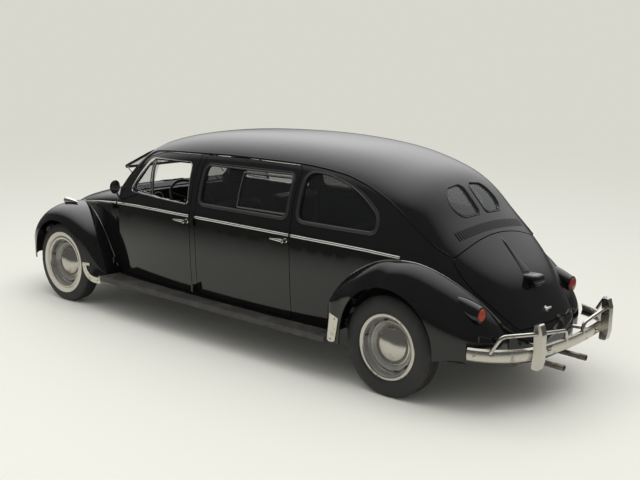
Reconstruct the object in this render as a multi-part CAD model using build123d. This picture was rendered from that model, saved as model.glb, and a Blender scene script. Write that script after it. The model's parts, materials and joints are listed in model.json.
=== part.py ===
"""Stretched four-door saloon with separate wings and a rear engine, in build123d, millimetres.

X points forward, Y to the car's left and Z up. Every shape is drawn with its stations measured
forward from the rear axle, and export() moves it so that the origin lies at the middle of the
car's length, on the ground.
"""
from build123d import *
import math
import os

# Driving dimensions.
WHEELBASE = 3310
REAR_OVERHANG = 915
FRONT_OVERHANG = 705
MID = (WHEELBASE + FRONT_OVERHANG - REAR_OVERHANG) / 2
FRONT_WHEEL_Y = 652
REAR_WHEEL_Y = 644
TYRE_R = 320
TYRE_WIDTH = 145
RIM_R = 190
FLANGE_R = 207
WALL = 40          # whole thickness of a body panel, a door or a lid
SKIN = 10          # rolled edge of a wing
GAP = 5            # shut line round a door or a lid
BOTTOM = 240       # lower edge of the sills
GLASS = 5
SEAT_TOP = 560
TURN_CLEAR = 372   # radius of the arches over the wheels

# Hull sections: station, half width at the sill and at the belt, height of the belt and of the
# roof, fullness of the roof, lean of the pillars and how far up the roof's side reaches.
CABIN = [
    (-770, 140, 150, 360, 420, 0.62, 0.99, 0.55),
    (-735, 262, 280, 400, 470, 0.62, 0.99, 0.55),
    (-680, 312, 350, 480, 570, 0.62, 0.98, 0.56),
    (-600, 357, 400, 550, 690, 0.62, 0.98, 0.58),
    (-450, 422, 490, 690, 852, 0.58, 0.96, 0.62),
    (-300, 472, 560, 790, 1000, 0.56, 0.95, 0.64),
    (-150, 512, 610, 845, 1158, 0.55, 0.94, 0.67),
    (0, 552, 645, 875, 1306, 0.56, 0.93, 0.73),
    (200, 587, 665, 886, 1398, 0.58, 0.915, 0.80),
    (450, 617, 678, 892, 1455, 0.61, 0.905, 0.85),
    (750, 637, 686, 893, 1486, 0.65, 0.90, 0.89),
    (1100, 647, 690, 895, 1500, 0.667, 0.90, 0.90),
    (1500, 647, 690, 895, 1494, 0.667, 0.90, 0.90),
    (1900, 642, 686, 893, 1470, 0.667, 0.90, 0.90),
    (2200, 632, 672, 890, 1430, 0.66, 0.90, 0.90),
    (2450, 617, 650, 884, 1370, 0.66, 0.90, 0.90),
    (2740, 583, 618, 868, 1274, 0.66, 0.90, 0.90),
]
COWL = 2700        # station where the cabin ends and the nose begins
NOSE = [
    (COWL, 595, 624, 872, 992, 0.78, 0.93, 0.80),
    (2800, 560, 608, 862, 982, 0.76, 0.93, 0.80),
    (3000, 525, 570, 842, 955, 0.72, 0.95, 0.70),
    (3300, 430, 480, 795, 885, 0.70, 0.95, 0.65),
    (3550, 350, 400, 725, 815, 0.70, 0.97, 0.60),
    (3750, 262, 312, 620, 715, 0.70, 0.97, 0.60),
    (3880, 190, 225, 490, 560, 0.70, 0.97, 0.60),
]
# Windscreen plane, from its foot to its head, and how far the open screen stands out.
SCREEN_FOOT = (COWL, 985)
SCREEN_HEAD = (2465, 1305)
SCREEN_SLOPE = math.degrees(math.atan2(SCREEN_HEAD[1] - SCREEN_FOOT[1], SCREEN_HEAD[0] - SCREEN_FOOT[0]))
SCREEN_OPEN = 26
SCREEN_SHAPE = [(-500, 10, 50), (500, 10, 50), (428, 382, 110), (-428, 382, 110)]

# Side view outlines, station and height, with the radius of each corner.
FRONT_DOOR = [(2740, 325, 20), (2740, 865, 100), (2455, 1250, 130), (2250, 1305, 300),
              (1811, 1328, 20), (1811, 325, 12)]
REAR_DOOR = [(1758, 325, 12), (1758, 1331, 20), (1386, 1342, 900), (835, 1342, 50), (835, 325, 12)]
FRONT_WINDOW = [(2560, 985, 30), (2400, 1248, 90), (1870, 1268, 60), (1842, 972, 30)]
REAR_WINDOW = [(1728, 990, 48), (1728, 1270, 48), (880, 1286, 48), (878, 996, 48)]
QUARTER_WINDOW = [(793, 992, 60), (793, 1314, 60), (640, 1314, 400), (370, 1250, 700),
                  (150, 1092, 100), (165, 992, 40)]
VENT_POST = 2289   # rear edge of the vent window; the pane behind it is wound down

# Outlines seen from behind and from above, across and up or forward and across.
LID = [(-335, 486, 70), (335, 486, 70), (505, 757, 250), (498, 886, 50),
       (0, 1070, 1250), (-498, 886, 50), (-505, 757, 250)]
BONNET = [(2812, -478, 60), (2822, 0, 900), (2812, 478, 60), (3010, 462, 300),
          (3320, 385, 500), (3640, 262, 400), (3850, 150, 60), (3990, 120, 20),
          (3990, -120, 20), (3850, -150, 60), (3640, -262, 400), (3320, -385, 500),
          (3010, -462, 300)]
BONNET_EDGE = 486
REAR_PANE = [(30, 1100, 25), (215, 1094, 60), (268, 1140, 50), (228, 1252, 100), (30, 1274, 40)]

# Wings: station, height of the seam on the body, half width and height of the widest line,
# half width and height of the lower edge.
REAR_WING = [
    (505, 500, 665, 480, 668, 275), (470, 545, 715, 500, 720, 275), (447, 590, 738, 510, 745, 275),
    (400, 672, 750, 530, 755, 275), (300, 772, 758, 560, 762, 275), (150, 858, 768, 600, 770, 275),
    (0, 885, 772, 600, 770, 275), (-150, 868, 766, 580, 764, 285), (-300, 797, 748, 540, 742, 300),
    (-430, 706, 712, 490, 704, 330), (-540, 602, 655, 450, 645, 335), (-620, 508, 570, 420, 560, 338),
    (-662, 432, 470, 395, 465, 345),
]
FRONT_WING = [
    (2765, 330, 705, 306, 712, 290), (2800, 400, 722, 340, 730, 290), (2870, 520, 742, 410, 748, 290),
    (2960, 632, 755, 510, 760, 290), (3060, 705, 762, 580, 765, 290), (3205, 768, 768, 620, 768, 290),
    (3350, 790, 768, 625, 766, 290), (3500, 770, 760, 600, 756, 290), (3630, 706, 738, 540, 734, 294),
    (3740, 616, 698, 470, 694, 298), (3830, 505, 630, 410, 626, 304), (3865, 428, 572, 378, 568, 312),
]
WING_FOOT = 380
BUMPER_Z = 404
OVERRIDER_Y = 425
PIPE_Y = 140
PIPE_END = (-905, PIPE_Y, 262)
PIPE_SLEEVE = 60
KINGPIN_Y = 560
HEAD_X = WHEELBASE + 98   # front end of the floor, where the axle is bolted on
FRONT_HINGE = (2752, 640)
REAR_HINGE = (1764, 702)
WHEEL_HUB = (2190, 330, 905)
WHEEL_AXIS = (-0.751, 0, 0.660)
REAR_ARCH = (-5, 352, 347)
FRONT_ARCH = (WHEELBASE + 35, 300, 366)


def export(name, shape):
    """Write one node, moved from the rear axle's frame to the car's."""
    export_step(Compound(shape.solids()).moved(Location((-MID, 0, 0))), f"parts/{name}.step")


def mirrored(shape):
    """The same piece on the car's other side."""
    return mirror(shape, about=Plane.XZ)


def both(shape):
    """A piece with its twin on the other side."""
    return Compound(shape.solids() + mirrored(shape).solids())


def pair(name, shape):
    """Write the left piece and its mirrored twin on the right."""
    export(name + "_left", shape)
    export(name + "_right", mirrored(shape))


def box(x0, x1, y0, y1, z0, z1):
    """A box given by its six faces."""
    return Pos((x0 + x1) / 2, (y0 + y1) / 2, (z0 + z1) / 2) * Box(x1 - x0, y1 - y0, z1 - z0)


def rod(start, end, radius):
    """A round bar between two points."""
    start, end = Vector(*start), Vector(*end)
    return Solid.make_cylinder(radius, (end - start).length, Plane(start, z_dir=end - start))


def disc(x, y, z, radius, width):
    """A cylinder that lies across the car, from y outwards."""
    return rod((x, y, z), (x, y + width, z), radius)


def rounded(points):
    """A closed flat outline with its own radius at each corner."""
    face = make_face(Polyline(*[(p[0], p[1]) for p in points], close=True))
    for x, y, radius in points:
        corner = min(face.vertices(), key=lambda v: (v.X - x) ** 2 + (v.Y - y) ** 2)
        face = fillet(corner, radius)
    return face


def pushed(points, plane, depth, grow=0):
    """An outline on a plane, grown or shrunk by an even margin and pushed along its normal."""
    face = rounded(points)
    if grow:
        face = offset(face, amount=grow)
    return extrude(plane * face, depth)


def side_prism(points, near, far, grow=0):
    """An outline seen from the left, pushed through the car between two depths."""
    plane = Plane(origin=(0, far, 0), x_dir=(1, 0, 0), z_dir=(0, -1, 0))
    return pushed(points, plane, far - near, grow)


def tail_prism(points, near, far, grow=0):
    """An outline seen from behind, pushed through the car between two stations."""
    plane = Plane(origin=(near, 0, 0), x_dir=(0, 1, 0), z_dir=(1, 0, 0))
    return pushed(points, plane, far - near, grow)


def hull_wire(row, inset, drop):
    """One cross section of the hull, made of curves that keep their order along the car."""
    x, sill, belt, belt_z, top, full, lean, rise = row
    sill, belt, top = sill - inset, belt - inset, top - inset
    low, mid = BOTTOM - drop, BOTTOM + (belt_z - BOTTOM) / 2
    shoulder = belt_z + rise * (top - belt_z)
    side = [(sill, low), (belt, mid), (belt, belt_z)]
    roof = [(belt, belt_z), (belt * lean, shoulder), (full * belt, top), (0, top)]

    def curve(points, sign):
        return Edge.make_bezier(*[(x, sign * y, z) for y, z in points])

    floor = Edge.make_line((x, -sill, low), (x, sill, low))
    return Wire([floor, curve(side, 1), curve(roof, 1), curve(roof, -1), curve(side, -1)])


def hull(rows, inset=0, drop=0):
    """A smooth solid through the sections."""
    return Solid.make_loft([hull_wire(row, inset, drop) for row in rows])


def screen_plane(depth):
    """The windscreen's plane, or one parallel to it this far inside the cabin."""
    slope = math.radians(SCREEN_SLOPE)
    normal = Vector(math.sin(slope), 0, -math.cos(slope))
    foot = Vector(SCREEN_FOOT[0], 0, SCREEN_FOOT[1]) - normal * depth
    return Plane(foot, x_dir=(0, 1, 0), z_dir=normal)


def before_screen(depth):
    """A block of all that lies in front of that plane."""
    return screen_plane(depth) * (Pos(0, 0, 500) * Box(2400, 2400, 1000))


def outer_hull():
    """The whole outside of the body, cabin and nose, as one solid."""
    cabin = hull(CABIN) - before_screen(0) - box(COWL, 2900, -900, 900, 0, 1600)
    return cabin + hull(NOSE)


def hollow():
    """The inside of the cabin, the tail and the nose."""
    cabin = hull(CABIN, WALL, 20) - before_screen(WALL)
    cabin -= box(COWL - 40, 2900, -900, 900, 0, 1600)
    cabin -= box(-900, CABIN[0][0] + WALL, -900, 900, 0, 1600)
    nose = hull(NOSE, WALL, 20) - box(2600, COWL + 40, -900, 900, 0, 1600)
    nose -= box(NOSE[-1][0] - WALL, 4000, -900, 900, 0, 1600)
    return cabin + nose


def bare_shell(outer):
    """The body's walls before doors, lids and windows are cut from them."""
    shell = outer - hollow()
    for x, foot in ((0, 522), (WHEELBASE, 387)):
        drum = disc(x, foot, TYRE_R, TURN_CLEAR + 8, 400) & outer
        well = disc(x, foot + 8, TYRE_R, TURN_CLEAR, 500)
        axle_hole = disc(x, foot - 20, TYRE_R, 60, 60)
        shell = shell + both(drum) - both(well) - both(axle_hole)
    shell -= box(WHEELBASE - 180, WHEELBASE + 330, -900, 900, 0, 440)
    shell -= box(WHEELBASE + 300, 4100, -900, 900, 0, 305)
    shell -= box(-900, -400, -900, 900, 0, 288)
    return shell


def door_cutters():
    """The two doorways on the left, no deeper than the side wall."""
    inside = hull(CABIN, WALL + GAP, 20)
    return [side_prism(outline, 430, 900) - inside for outline in (FRONT_DOOR, REAR_DOOR)]


def lid_cutter(grow=0):
    return tail_prism(LID, -900, -120, grow)


def bonnet_cutter(grow=0):
    plane = Plane(origin=(0, 0, BONNET_EDGE - grow), x_dir=(1, 0, 0), z_dir=(0, 0, 1))
    liner = disc(WHEELBASE, 380, TYRE_R, TURN_CLEAR + 14, 400)
    return pushed(BONNET, plane, 700, grow) - liner - mirrored(liner)


def screen_opening():
    """The windscreen's hole, square to its plane."""
    return pushed(SCREEN_SHAPE, screen_plane(0).offset(60), -200)


def body_shell(shell):
    body = shell
    for cutter in door_cutters():
        body = body - cutter - mirrored(cutter)
    window = side_prism(QUARTER_WINDOW, 350, 900)
    body = body - window - mirrored(window)
    pane = tail_prism(REAR_PANE, -400, 120)
    body = body - pane - mirrored(pane)
    body -= lid_cutter() + bonnet_cutter()
    return body - screen_opening()


def stepped(panel, cutter):
    """A panel whose edge steps back behind its outer skin, to swing clear of its frame."""
    return panel - (hull(CABIN, 14) & (cutter(-GAP + 2) - cutter(-GAP - 8)))


def door(shell, outline, window):
    def cutter(grow):
        return side_prism(outline, 430, 900, grow)

    panel = (shell & cutter(-GAP)) - hull(CABIN, WALL, 20) - side_prism(window, 300, 900)
    return stepped(panel, cutter)


def glass_layer():
    """A thin skin inside the walls that every curved pane is cut from."""
    return hull(CABIN, 16) - hull(CABIN, 16 + GLASS)


def wing_wire(row, inset):
    x, seam, wide, wide_z, low, low_z = row
    foot = WING_FOOT - 3 * inset
    seam, wide, low = seam - inset, wide - inset, low - inset
    low_z -= 2 * inset
    crown = [(foot, seam), (foot + 0.55 * (wide - foot), seam + 24), (wide, seam - 0.12 * (seam - wide_z)),
             (wide, wide_z)]
    skirt = [(wide, wide_z), (wide, (wide_z + low_z) / 2), (low, low_z)]

    def curve(points):
        return Edge.make_bezier(*[(x, y, z) for y, z in points])

    back = Edge.make_line((x, foot, low_z), (x, foot, seam))
    base = Edge.make_line((x, low, low_z), (x, foot, low_z))
    return Wire([back, curve(crown), curve(skirt), base])


def wing(rows, arch, outer):
    """A hollow wing on the left, open below and over its wheel."""
    skin = Solid.make_loft([wing_wire(row, 0) for row in rows])
    inner = Solid.make_loft([wing_wire(row, SKIN) for row in rows])
    ends = [rows[0][0], rows[-1][0]]
    inner &= box(min(ends) + SKIN, max(ends) - SKIN, 0, 1000, 0, 1200)
    x, z, radius = arch
    opening = disc(x, 500, z, radius, 400) + box(x - radius, x + radius, 500, 900, 0, z)
    return skin - inner - outer - opening


def tyre(y):
    """A plain tyre with rounded shoulders, standing on the ground."""
    half = TYRE_WIDTH / 2
    left = [(RIM_R, -half + 22, 3), (FLANGE_R + 2, -half + 20, 3), (FLANGE_R + 14, -half + 4, 12),
            (RIM_R + 70, -half, 34), (TYRE_R - 16, -half + 12, 18), (TYRE_R, -half + 24, 14)]
    profile = left + [(r, -y, radius) for r, y, radius in reversed(left)]
    face = Plane(origin=(0, y, 0), x_dir=(1, 0, 0), z_dir=(0, 0, 1)) * rounded(profile)
    return revolve(face, Axis((0, y, 0), (0, 1, 0)), 360)


def rim(y):
    """A pressed steel wheel with slots, its domed hub cap and its brake drum."""
    half = TYRE_WIDTH / 2 - 20
    well = [(RIM_R - 34, -40), (RIM_R - 34, 20), (RIM_R, 34), (RIM_R, half + 1), (FLANGE_R, half + 1),
            (FLANGE_R, half + 8), (RIM_R - 8, half + 8), (RIM_R - 12, 38), (RIM_R - 46, 28),
            (RIM_R - 46, -34), (RIM_R - 12, -38), (RIM_R - 8, -half - 8), (FLANGE_R, -half - 8),
            (FLANGE_R, -half - 1), (RIM_R, -half - 1), (RIM_R, -52)]
    plate = [(0, 22), (105, 22), (118, 34), (RIM_R - 46, 12), (RIM_R - 46, 4), (114, 22), (104, 12), (0, 12)]
    drum = [(0, 12), (114, 12), (114, -38), (122, -38), (122, -46), (0, -46)]
    cap = [(0, 62), (30, 61), (62, 54), (92, 44), (112, 30), (120, 22), (0, 22)]
    pieces = [make_face(Polyline(*points, close=True)) for points in (well, plate, drum, cap)]
    plane = Plane(origin=(0, y, 0), x_dir=(1, 0, 0), z_dir=(0, 0, 1))
    wheel = None
    for face in pieces:
        turned = revolve(plane * face, Axis((0, y, 0), (0, 1, 0)), 360)
        wheel = turned if wheel is None else wheel + turned
    for index in range(10):
        wheel -= Rot(0, 36 * index, 0) * (Pos(130, y + 20, 0) * Box(14, 60, 40))
    return wheel


def seat(x, y, width):
    """A sprung seat: cushion, leaning back and the frame under it."""
    cushion = fillet(box(x, x + 480, y - width / 2, y + width / 2, 420, SEAT_TOP).edges(), 40)
    back = fillet(box(-70, 70, y - width / 2, y + width / 2, 0, 560).edges(), 45)
    back = Pos(x - 20, 0, 430) * Rot(0, -14, 0) * back
    frame = box(x + 30, x + 430, y - width / 2 + 30, y + width / 2 - 30, BOTTOM, 425)
    return cushion + back + frame - box(0, 3000, -82, 82, BOTTOM, BOTTOM + 92)


def blade(x_mid, outwards, end_radius, end_turn):
    """A bumper blade: a shallow arc in plan that tightens round the wings, crowned in section."""
    radius, turn = 2500, 9
    crown = [(0, -40), (12, -30), (18, 0), (12, 30), (0, 40), (-6, 34), (0, 26), (6, 0), (0, -26), (-6, -34)]
    face = make_face(Polyline(*[(x_mid + outwards * x, 0, BUMPER_Z + z) for x, z in crown], close=True))
    centre = x_mid - outwards * radius
    middle = revolve(face, Axis((centre, 0, 0), (0, 0, outwards)), turn)
    face = face.rotate(Axis((centre, 0, 0), (0, 0, outwards)), turn)
    lean = math.radians(turn)
    hub_x = centre + outwards * (radius - end_radius) * math.cos(lean)
    hub_y = (radius - end_radius) * math.sin(lean)
    end = revolve(face, Axis((hub_x, hub_y, 0), (0, 0, outwards)), end_turn)
    half = middle + end
    return half + mirrored(half)


def overrider(x, outwards, top):
    """An upright guard on a bumper, rounded at its top and foot."""
    side = [(x - outwards * 60, 318, 8), (x - outwards * 14, 314, 14), (x, 372, 60), (x, top - 60, 60),
            (x - outwards * 18, top, 15), (x - outwards * 56, top - 8, 10), (x - outwards * 54, 444, 60)]
    if outwards < 0:
        side = side[::-1]
    plane = Plane(origin=(0, OVERRIDER_Y + 26, 0), x_dir=(1, 0, 0), z_dir=(0, -1, 0))
    return extrude(plane * rounded(side), 52)


def bumper(x_mid, outwards, end_radius, end_turn, top, outer, wing_solid):
    """The blade with its two overriders and the irons that hold it to the body."""
    iron = rod((x_mid - outwards * 260, 250, BUMPER_Z), (x_mid - outwards * 2, 300, BUMPER_Z), 12)
    extras = overrider(x_mid + outwards * 30, outwards, top) + (iron - outer) - wing_solid
    return blade(x_mid, outwards, end_radius, end_turn) + extras + mirrored(extras)


def bow(points):
    """A round bar bent to a bow."""
    path = FilletPolyline(*points, radius=40)
    return sweep(Plane(path @ 0, z_dir=path % 0) * Circle(12), path)


def rear_bows(x_mid):
    """The bars on both sides of each rear overrider, bent down to the blade."""
    x_bar = x_mid - 2
    side = bow([(x_mid + 185, 655, BUMPER_Z + 20), (x_mid + 120, 645, 532), (x_bar, OVERRIDER_Y + 10, 532)])
    inner = bow([(x_bar, OVERRIDER_Y - 10, 530), (x_bar, 112, 486), (x_bar + 2, 104, BUMPER_Z + 14)])
    return both(side + inner)


def floor_pan():
    """The pressed floor with its backbone tunnel and the head that carries the front axle."""
    outline = Polyline((440, -560), (440, 560), (2700, 575), (2870, 545), (3070, 340), (HEAD_X, 300),
                       (HEAD_X, -300), (3070, -340), (2870, -545), (2700, -575), close=True)
    plate = extrude(Pos(0, 0, BOTTOM - 12) * make_face(outline), 12)
    tunnel = box(300, COWL - 40, -80, 80, BOTTOM - 40, BOTTOM + 90)
    return plate + tunnel + box(300, HEAD_X, -80, 80, BOTTOM - 40, BOTTOM - 12)


def rear_bulkhead():
    """The wall behind the back seat, the shelf over the gearbox and the engine bay's firewall."""
    line = [(440, BOTTOM), (440, 700), (-40, 700), (-180, 985), (-192, 979), (-58, 688), (428, 688), (428, BOTTOM)]
    plane = Plane(origin=(0, 700, 0), x_dir=(1, 0, 0), z_dir=(0, -1, 0))
    wall = extrude(plane * make_face(Polyline(*line, close=True)), 1400) & hull(CABIN, WALL + 1, 20)
    arch = disc(0, 300, TYRE_R, TURN_CLEAR + 9, 500)
    return wall - arch - mirrored(arch) - box(420, 450, -82, 82, 200, BOTTOM + 92)


def dashboard():
    panel = box(2580, COWL - 41, -700, 700, 800, 962) & hull(CABIN, WALL + 1, 20)
    column = rod(WHEEL_HUB, (COWL - 41, WHEEL_HUB[1], 905 - 0.88 * (COWL - 41 - WHEEL_HUB[0])), 16)
    return panel + (column - box(COWL - 41, 3000, 0, 600, 0, 900))


def steering_wheel():
    """Rim, hub and three spokes, square to the column."""
    wheel = Torus(192, 11) + Cylinder(34, 36)
    for angle in (90, 210, 330):
        wheel += Rot(0, 0, angle) * (Pos(110, 0, 0) * Box(170, 16, 8))
    place = Plane(Vector(*WHEEL_HUB) + Vector(*WHEEL_AXIS) * 24, x_dir=(0, 1, 0), z_dir=WHEEL_AXIS)
    return place * wheel


def screen_frame(outer):
    """The windscreen's frame and glass, swung out on the hinges at its head, with its stays."""
    base = screen_plane(0)
    ring = extrude(base * offset(rounded(SCREEN_SHAPE), amount=-GAP), 16, dir=base.z_dir)
    hole = extrude(base * offset(rounded(SCREEN_SHAPE), amount=-GAP - 18), 16, dir=base.z_dir)
    pane = Pos(*(base.z_dir * 6)) * extrude(base * offset(rounded(SCREEN_SHAPE), amount=-GAP - 18), GLASS, dir=base.z_dir)
    hinge = base.origin + base.y_dir * (SCREEN_SHAPE[2][1] + 6) + base.z_dir * 14
    axis = Axis(hinge, (0, 1, 0))
    frame = (ring - hole).rotate(axis, -SCREEN_OPEN)
    glass = pane.rotate(axis, -SCREEN_OPEN)
    lug = rod((hinge.X - 12, 250, hinge.Z - 2), (hinge.X - 12, 330, hinge.Z - 2), 14) - outer
    return frame + lug + mirrored(lug), glass


def knuckle():
    """Kingpin, stub axle and steering arm of the left front wheel."""
    post = rod((WHEELBASE, KINGPIN_Y, 235), (WHEELBASE, KINGPIN_Y, 405), 14)
    stub = rod((WHEELBASE, KINGPIN_Y, TYRE_R), (WHEELBASE, FRONT_WHEEL_Y - 52, TYRE_R), 20)
    arm = rod((WHEELBASE, KINGPIN_Y, 300), (WHEELBASE - 130, KINGPIN_Y - 30, 300), 10)
    return post + stub + arm


def front_axle():
    """Two cross tubes with trailing arms and the upright links beside the kingpins."""
    axle = None
    for z in (255, 375):
        tube = rod((WHEELBASE + 130, -445, z), (WHEELBASE + 130, 445, z), 28)
        arm = rod((WHEELBASE + 130, 435, z), (WHEELBASE + 6, 524, z + (10 if z > 300 else -10)), 13)
        piece = tube + arm + mirrored(arm)
        axle = piece if axle is None else axle + piece
    tower = box(WHEELBASE + 100, WHEELBASE + 160, 425, 441, 215, 430)
    link = rod((WHEELBASE, 526, 235), (WHEELBASE, 526, 400), 14)
    head = box(HEAD_X, WHEELBASE + 162, -90, 90, BOTTOM - 12, 425)
    return axle + tower + mirrored(tower) + link + mirrored(link) + head


def rear_axle():
    """Swing axle tubes, the torsion bar housing ahead of them and its trailing plates."""
    tube = rod((0, 112, TYRE_R), (0, REAR_WHEEL_Y - 54, TYRE_R), 34)
    plate = box(-30, 230, 488, 498, 285, 355)
    housing = rod((200, -500, 310), (200, 500, 310), 36)
    return housing + both(tube + plate) - gearbox()


def gearbox():
    return fillet(box(-170, 300, -105, 105, 215, 400).edges(), 30)


def engine_block():
    return box(-500, -172, -250, 250, 225, 590)


def exhaust():
    """The silencer across the tail and its two pipes, each with a sleeve of its own at the end."""
    silencer = fillet(rod((-610, -270, 292), (-610, 270, 292), 62).edges(), 14)
    root, tip = Vector(-640, PIPE_Y, 270), Vector(*PIPE_END)
    aim = (tip - root).normalized()
    pipe = rod(root, tip, 17.5) + rod(tip - aim * PIPE_SLEEVE, tip, 19) - rod(tip - aim * 200, tip + aim * 10, 15)
    return silencer + pipe + mirrored(pipe)


def lamp_bowl(centre, axis, radius, length):
    centre = Vector(*centre)
    return Solid.make_cylinder(radius, length, Plane(centre - Vector(*axis) * length, z_dir=axis))


def tail_lamp(wing_solid):
    """A teardrop housing with a round lens that faces backwards."""
    rings = [(50, -565, 552, 602), (58, -520, 556, 612), (50, -460, 566, 640), (22, -400, 578, 676)]
    wires = [Wire.make_circle(radius, Plane((x, y, z), z_dir=(1, 0, 0))) for radius, x, y, z in rings]
    return Solid.make_loft(wires) - wing_solid


def headlamp(wing_solid):
    axis = (math.cos(math.radians(22)), 0, math.sin(math.radians(22)))
    lamp = lamp_bowl((3735, 560, 580), axis, 94, 120)
    return fillet(lamp.edges().sort_by(Axis.X)[-1:], 14) - wing_solid


def turn_signal(wing_solid):
    lamp = lamp_bowl((3468, 570, 800), (1, 0, 0), 27, 60)
    tail = Solid.make_cone(27, 8, 108, Plane((3408, 570, 800), z_dir=(-1, 0, 0)))
    foot = box(3390, 3450, 557, 583, 730, 798)
    return lamp + tail + foot - wing_solid


def door_handle(x, outer):
    """A pull with its pivot boss towards the door's free edge."""
    boss = rod((x + 18, 660, 855), (x + 18, 714, 855), 15)
    bar = fillet(box(x, x + 132, 710, 724, 845, 866).edges(), 5)
    return boss + bar - outer


def mirror_arm(outer):
    """A round driving mirror on the door's upper hinge."""
    arm = rod((2690, 598, 882), (2580, 748, 1016), 7) - outer
    head = rod((2566, 752, 1026), (2588, 756, 1026), 52)
    return arm + head


def running_board(outer, wing_solids):
    """The rubber-covered board between the wings, with its turned-down outer edge."""
    board = box(452, 2762, 560, 770, 280, 304) + box(452, 2762, 752, 770, 266, 304) - outer
    for solid in wing_solids:
        board = board - solid
    return board


def plate_lamp(outer):
    """The rounded housing over the number plate on the engine lid."""
    return fillet(box(-642, -520, -60, 60, 698, 764).edges(), 27) - outer


def louvres():
    """The row of upright slots under the rear window, as cutters."""
    slots = []
    for index in range(36):
        y = -367.5 + 21 * index
        centre = 1027 - 2.4e-4 * y * y
        slots.append(box(-400, -120, y - 5, y + 5, centre - 22, centre + 22))
    return slots


def hinge_barrels():
    """The outside hinges of the doors on the left, two to each door."""
    barrels = []
    for x, y, heights in ((*FRONT_HINGE, (415, 846)), (*REAR_HINGE, (374, 857))):
        for z in heights:
            pin = rod((x, y, z - 26), (x, y, z + 26), 7)
            leaf = box(x, x + 16, y - 60, y, z - 22, z + 22)
            barrels += [pin, leaf]
    return barrels


def main():
    os.makedirs("parts", exist_ok=True)
    outer = outer_hull()
    shell = bare_shell(outer)
    body = body_shell(shell)
    for slot in louvres():
        body -= slot
    for barrel in hinge_barrels():
        piece = barrel - outer
        body = body + piece + mirrored(piece)
    notch = box(-800, -600, PIPE_Y - 26, PIPE_Y + 26, 200, 300)
    body = body - notch - mirrored(notch)
    export("body_shell", body)
    panes = glass_layer()
    quarter = panes & side_prism(QUARTER_WINDOW, 350, 900)
    rear_pane = panes & tail_prism(REAR_PANE, -400, 120)
    doors = (("front", FRONT_DOOR, FRONT_WINDOW, 1821, (VENT_POST, 2700)),
             ("rear", REAR_DOOR, REAR_WINDOW, 853, (800, 1800)))
    for name, outline, window, handle_x, span in doors:
        panel = door(shell, outline, window)
        pane = panes & side_prism(window, 350, 900) & box(*span, 0, 900, 900, 1400)
        handle = door_handle(handle_x, outer)
        pair(f"{name}_door", panel)
        pair(f"{name}_door_glass", pane)
        pair(f"{name}_door_handle", handle)
    export("mirror", mirror_arm(outer))
    export("engine_lid", stepped(shell & lid_cutter(-GAP), lid_cutter))
    export("plate_lamp", plate_lamp(outer))
    export("bonnet", shell & bonnet_cutter(-GAP))
    wings = {"front": (FRONT_WING, FRONT_ARCH), "rear": (REAR_WING, REAR_ARCH)}
    solids = {}
    for name, (rows, arch) in wings.items():
        piece = wing(rows, arch, outer)
        solids[name] = Solid.make_loft([wing_wire(row, 0) for row in rows])
        export(f"{name}_wings", both(piece))
    export("tail_lamps", both(tail_lamp(solids["rear"])))
    export("headlamps", both(headlamp(solids["front"])))
    export("turn_signals", both(turn_signal(solids["front"])))
    export("running_boards", both(running_board(outer, solids.values())))
    export("front_bumper", bumper(WHEELBASE + FRONT_OVERHANG - 30, 1, 440, 25, 500, outer, solids["front"]))
    tail_x = 30 - REAR_OVERHANG
    rear_bumper = bumper(tail_x, -1, 380, 66, 590, outer, solids["rear"]) + (rear_bows(tail_x) - both(solids["rear"]))
    export("rear_bumper", rear_bumper)
    frame, glass = screen_frame(outer)
    export("windscreen_frame", frame)
    export("fixed_glass", Compound([glass] + both(quarter).solids() + both(rear_pane).solids()))
    export("floor_pan", floor_pan())
    export("rear_bulkhead", rear_bulkhead())
    export("dashboard", dashboard())
    export("steering_wheel", steering_wheel())
    export("front_seats", both(seat(1860, 320, 480)))
    export("rear_seat", seat(620, 0, 1120))
    export("engine_block", engine_block())
    export("gearbox", gearbox())
    export("exhaust", exhaust())
    export("rear_axle", rear_axle())
    export("front_axle", front_axle())
    pair("front_knuckle", knuckle())
    for end, x, y in (("front", WHEELBASE, FRONT_WHEEL_Y), ("rear", 0, REAR_WHEEL_Y)):
        place = Pos(x, 0, TYRE_R)
        pair(f"{end}_tyre", place * tyre(y))
        pair(f"{end}_wheel", place * rim(y))


main()
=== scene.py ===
"""Looks of the stretched four-door saloon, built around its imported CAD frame, in metres.

X points forward, Y to the car's left and Z up. Stations are counted forward from the rear axle in
millimetres, as the CAD counts them, and at() turns them into the frame's metres.
"""
import bmesh
import bpy
import json
import math
from mathutils import Matrix, Vector
from mathutils.bvhtree import BVHTree


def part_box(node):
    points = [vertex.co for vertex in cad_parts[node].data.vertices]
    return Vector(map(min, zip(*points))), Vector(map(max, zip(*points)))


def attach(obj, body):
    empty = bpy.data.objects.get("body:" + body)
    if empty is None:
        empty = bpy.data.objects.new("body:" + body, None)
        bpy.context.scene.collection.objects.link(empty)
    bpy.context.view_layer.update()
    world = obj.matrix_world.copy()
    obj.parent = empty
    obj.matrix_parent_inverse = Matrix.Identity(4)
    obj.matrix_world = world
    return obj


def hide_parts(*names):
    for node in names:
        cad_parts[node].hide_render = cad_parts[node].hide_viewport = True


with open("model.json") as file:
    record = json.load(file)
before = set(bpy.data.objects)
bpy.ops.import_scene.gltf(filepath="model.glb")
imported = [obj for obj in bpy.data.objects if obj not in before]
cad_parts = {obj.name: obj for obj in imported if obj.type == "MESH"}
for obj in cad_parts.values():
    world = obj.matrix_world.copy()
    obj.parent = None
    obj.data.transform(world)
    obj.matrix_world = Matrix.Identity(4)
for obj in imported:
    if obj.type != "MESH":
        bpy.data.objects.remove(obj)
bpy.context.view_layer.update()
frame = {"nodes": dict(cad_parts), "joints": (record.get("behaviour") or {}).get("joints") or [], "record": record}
JOINTS = {joint["name"]: joint for joint in frame["joints"]}
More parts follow.
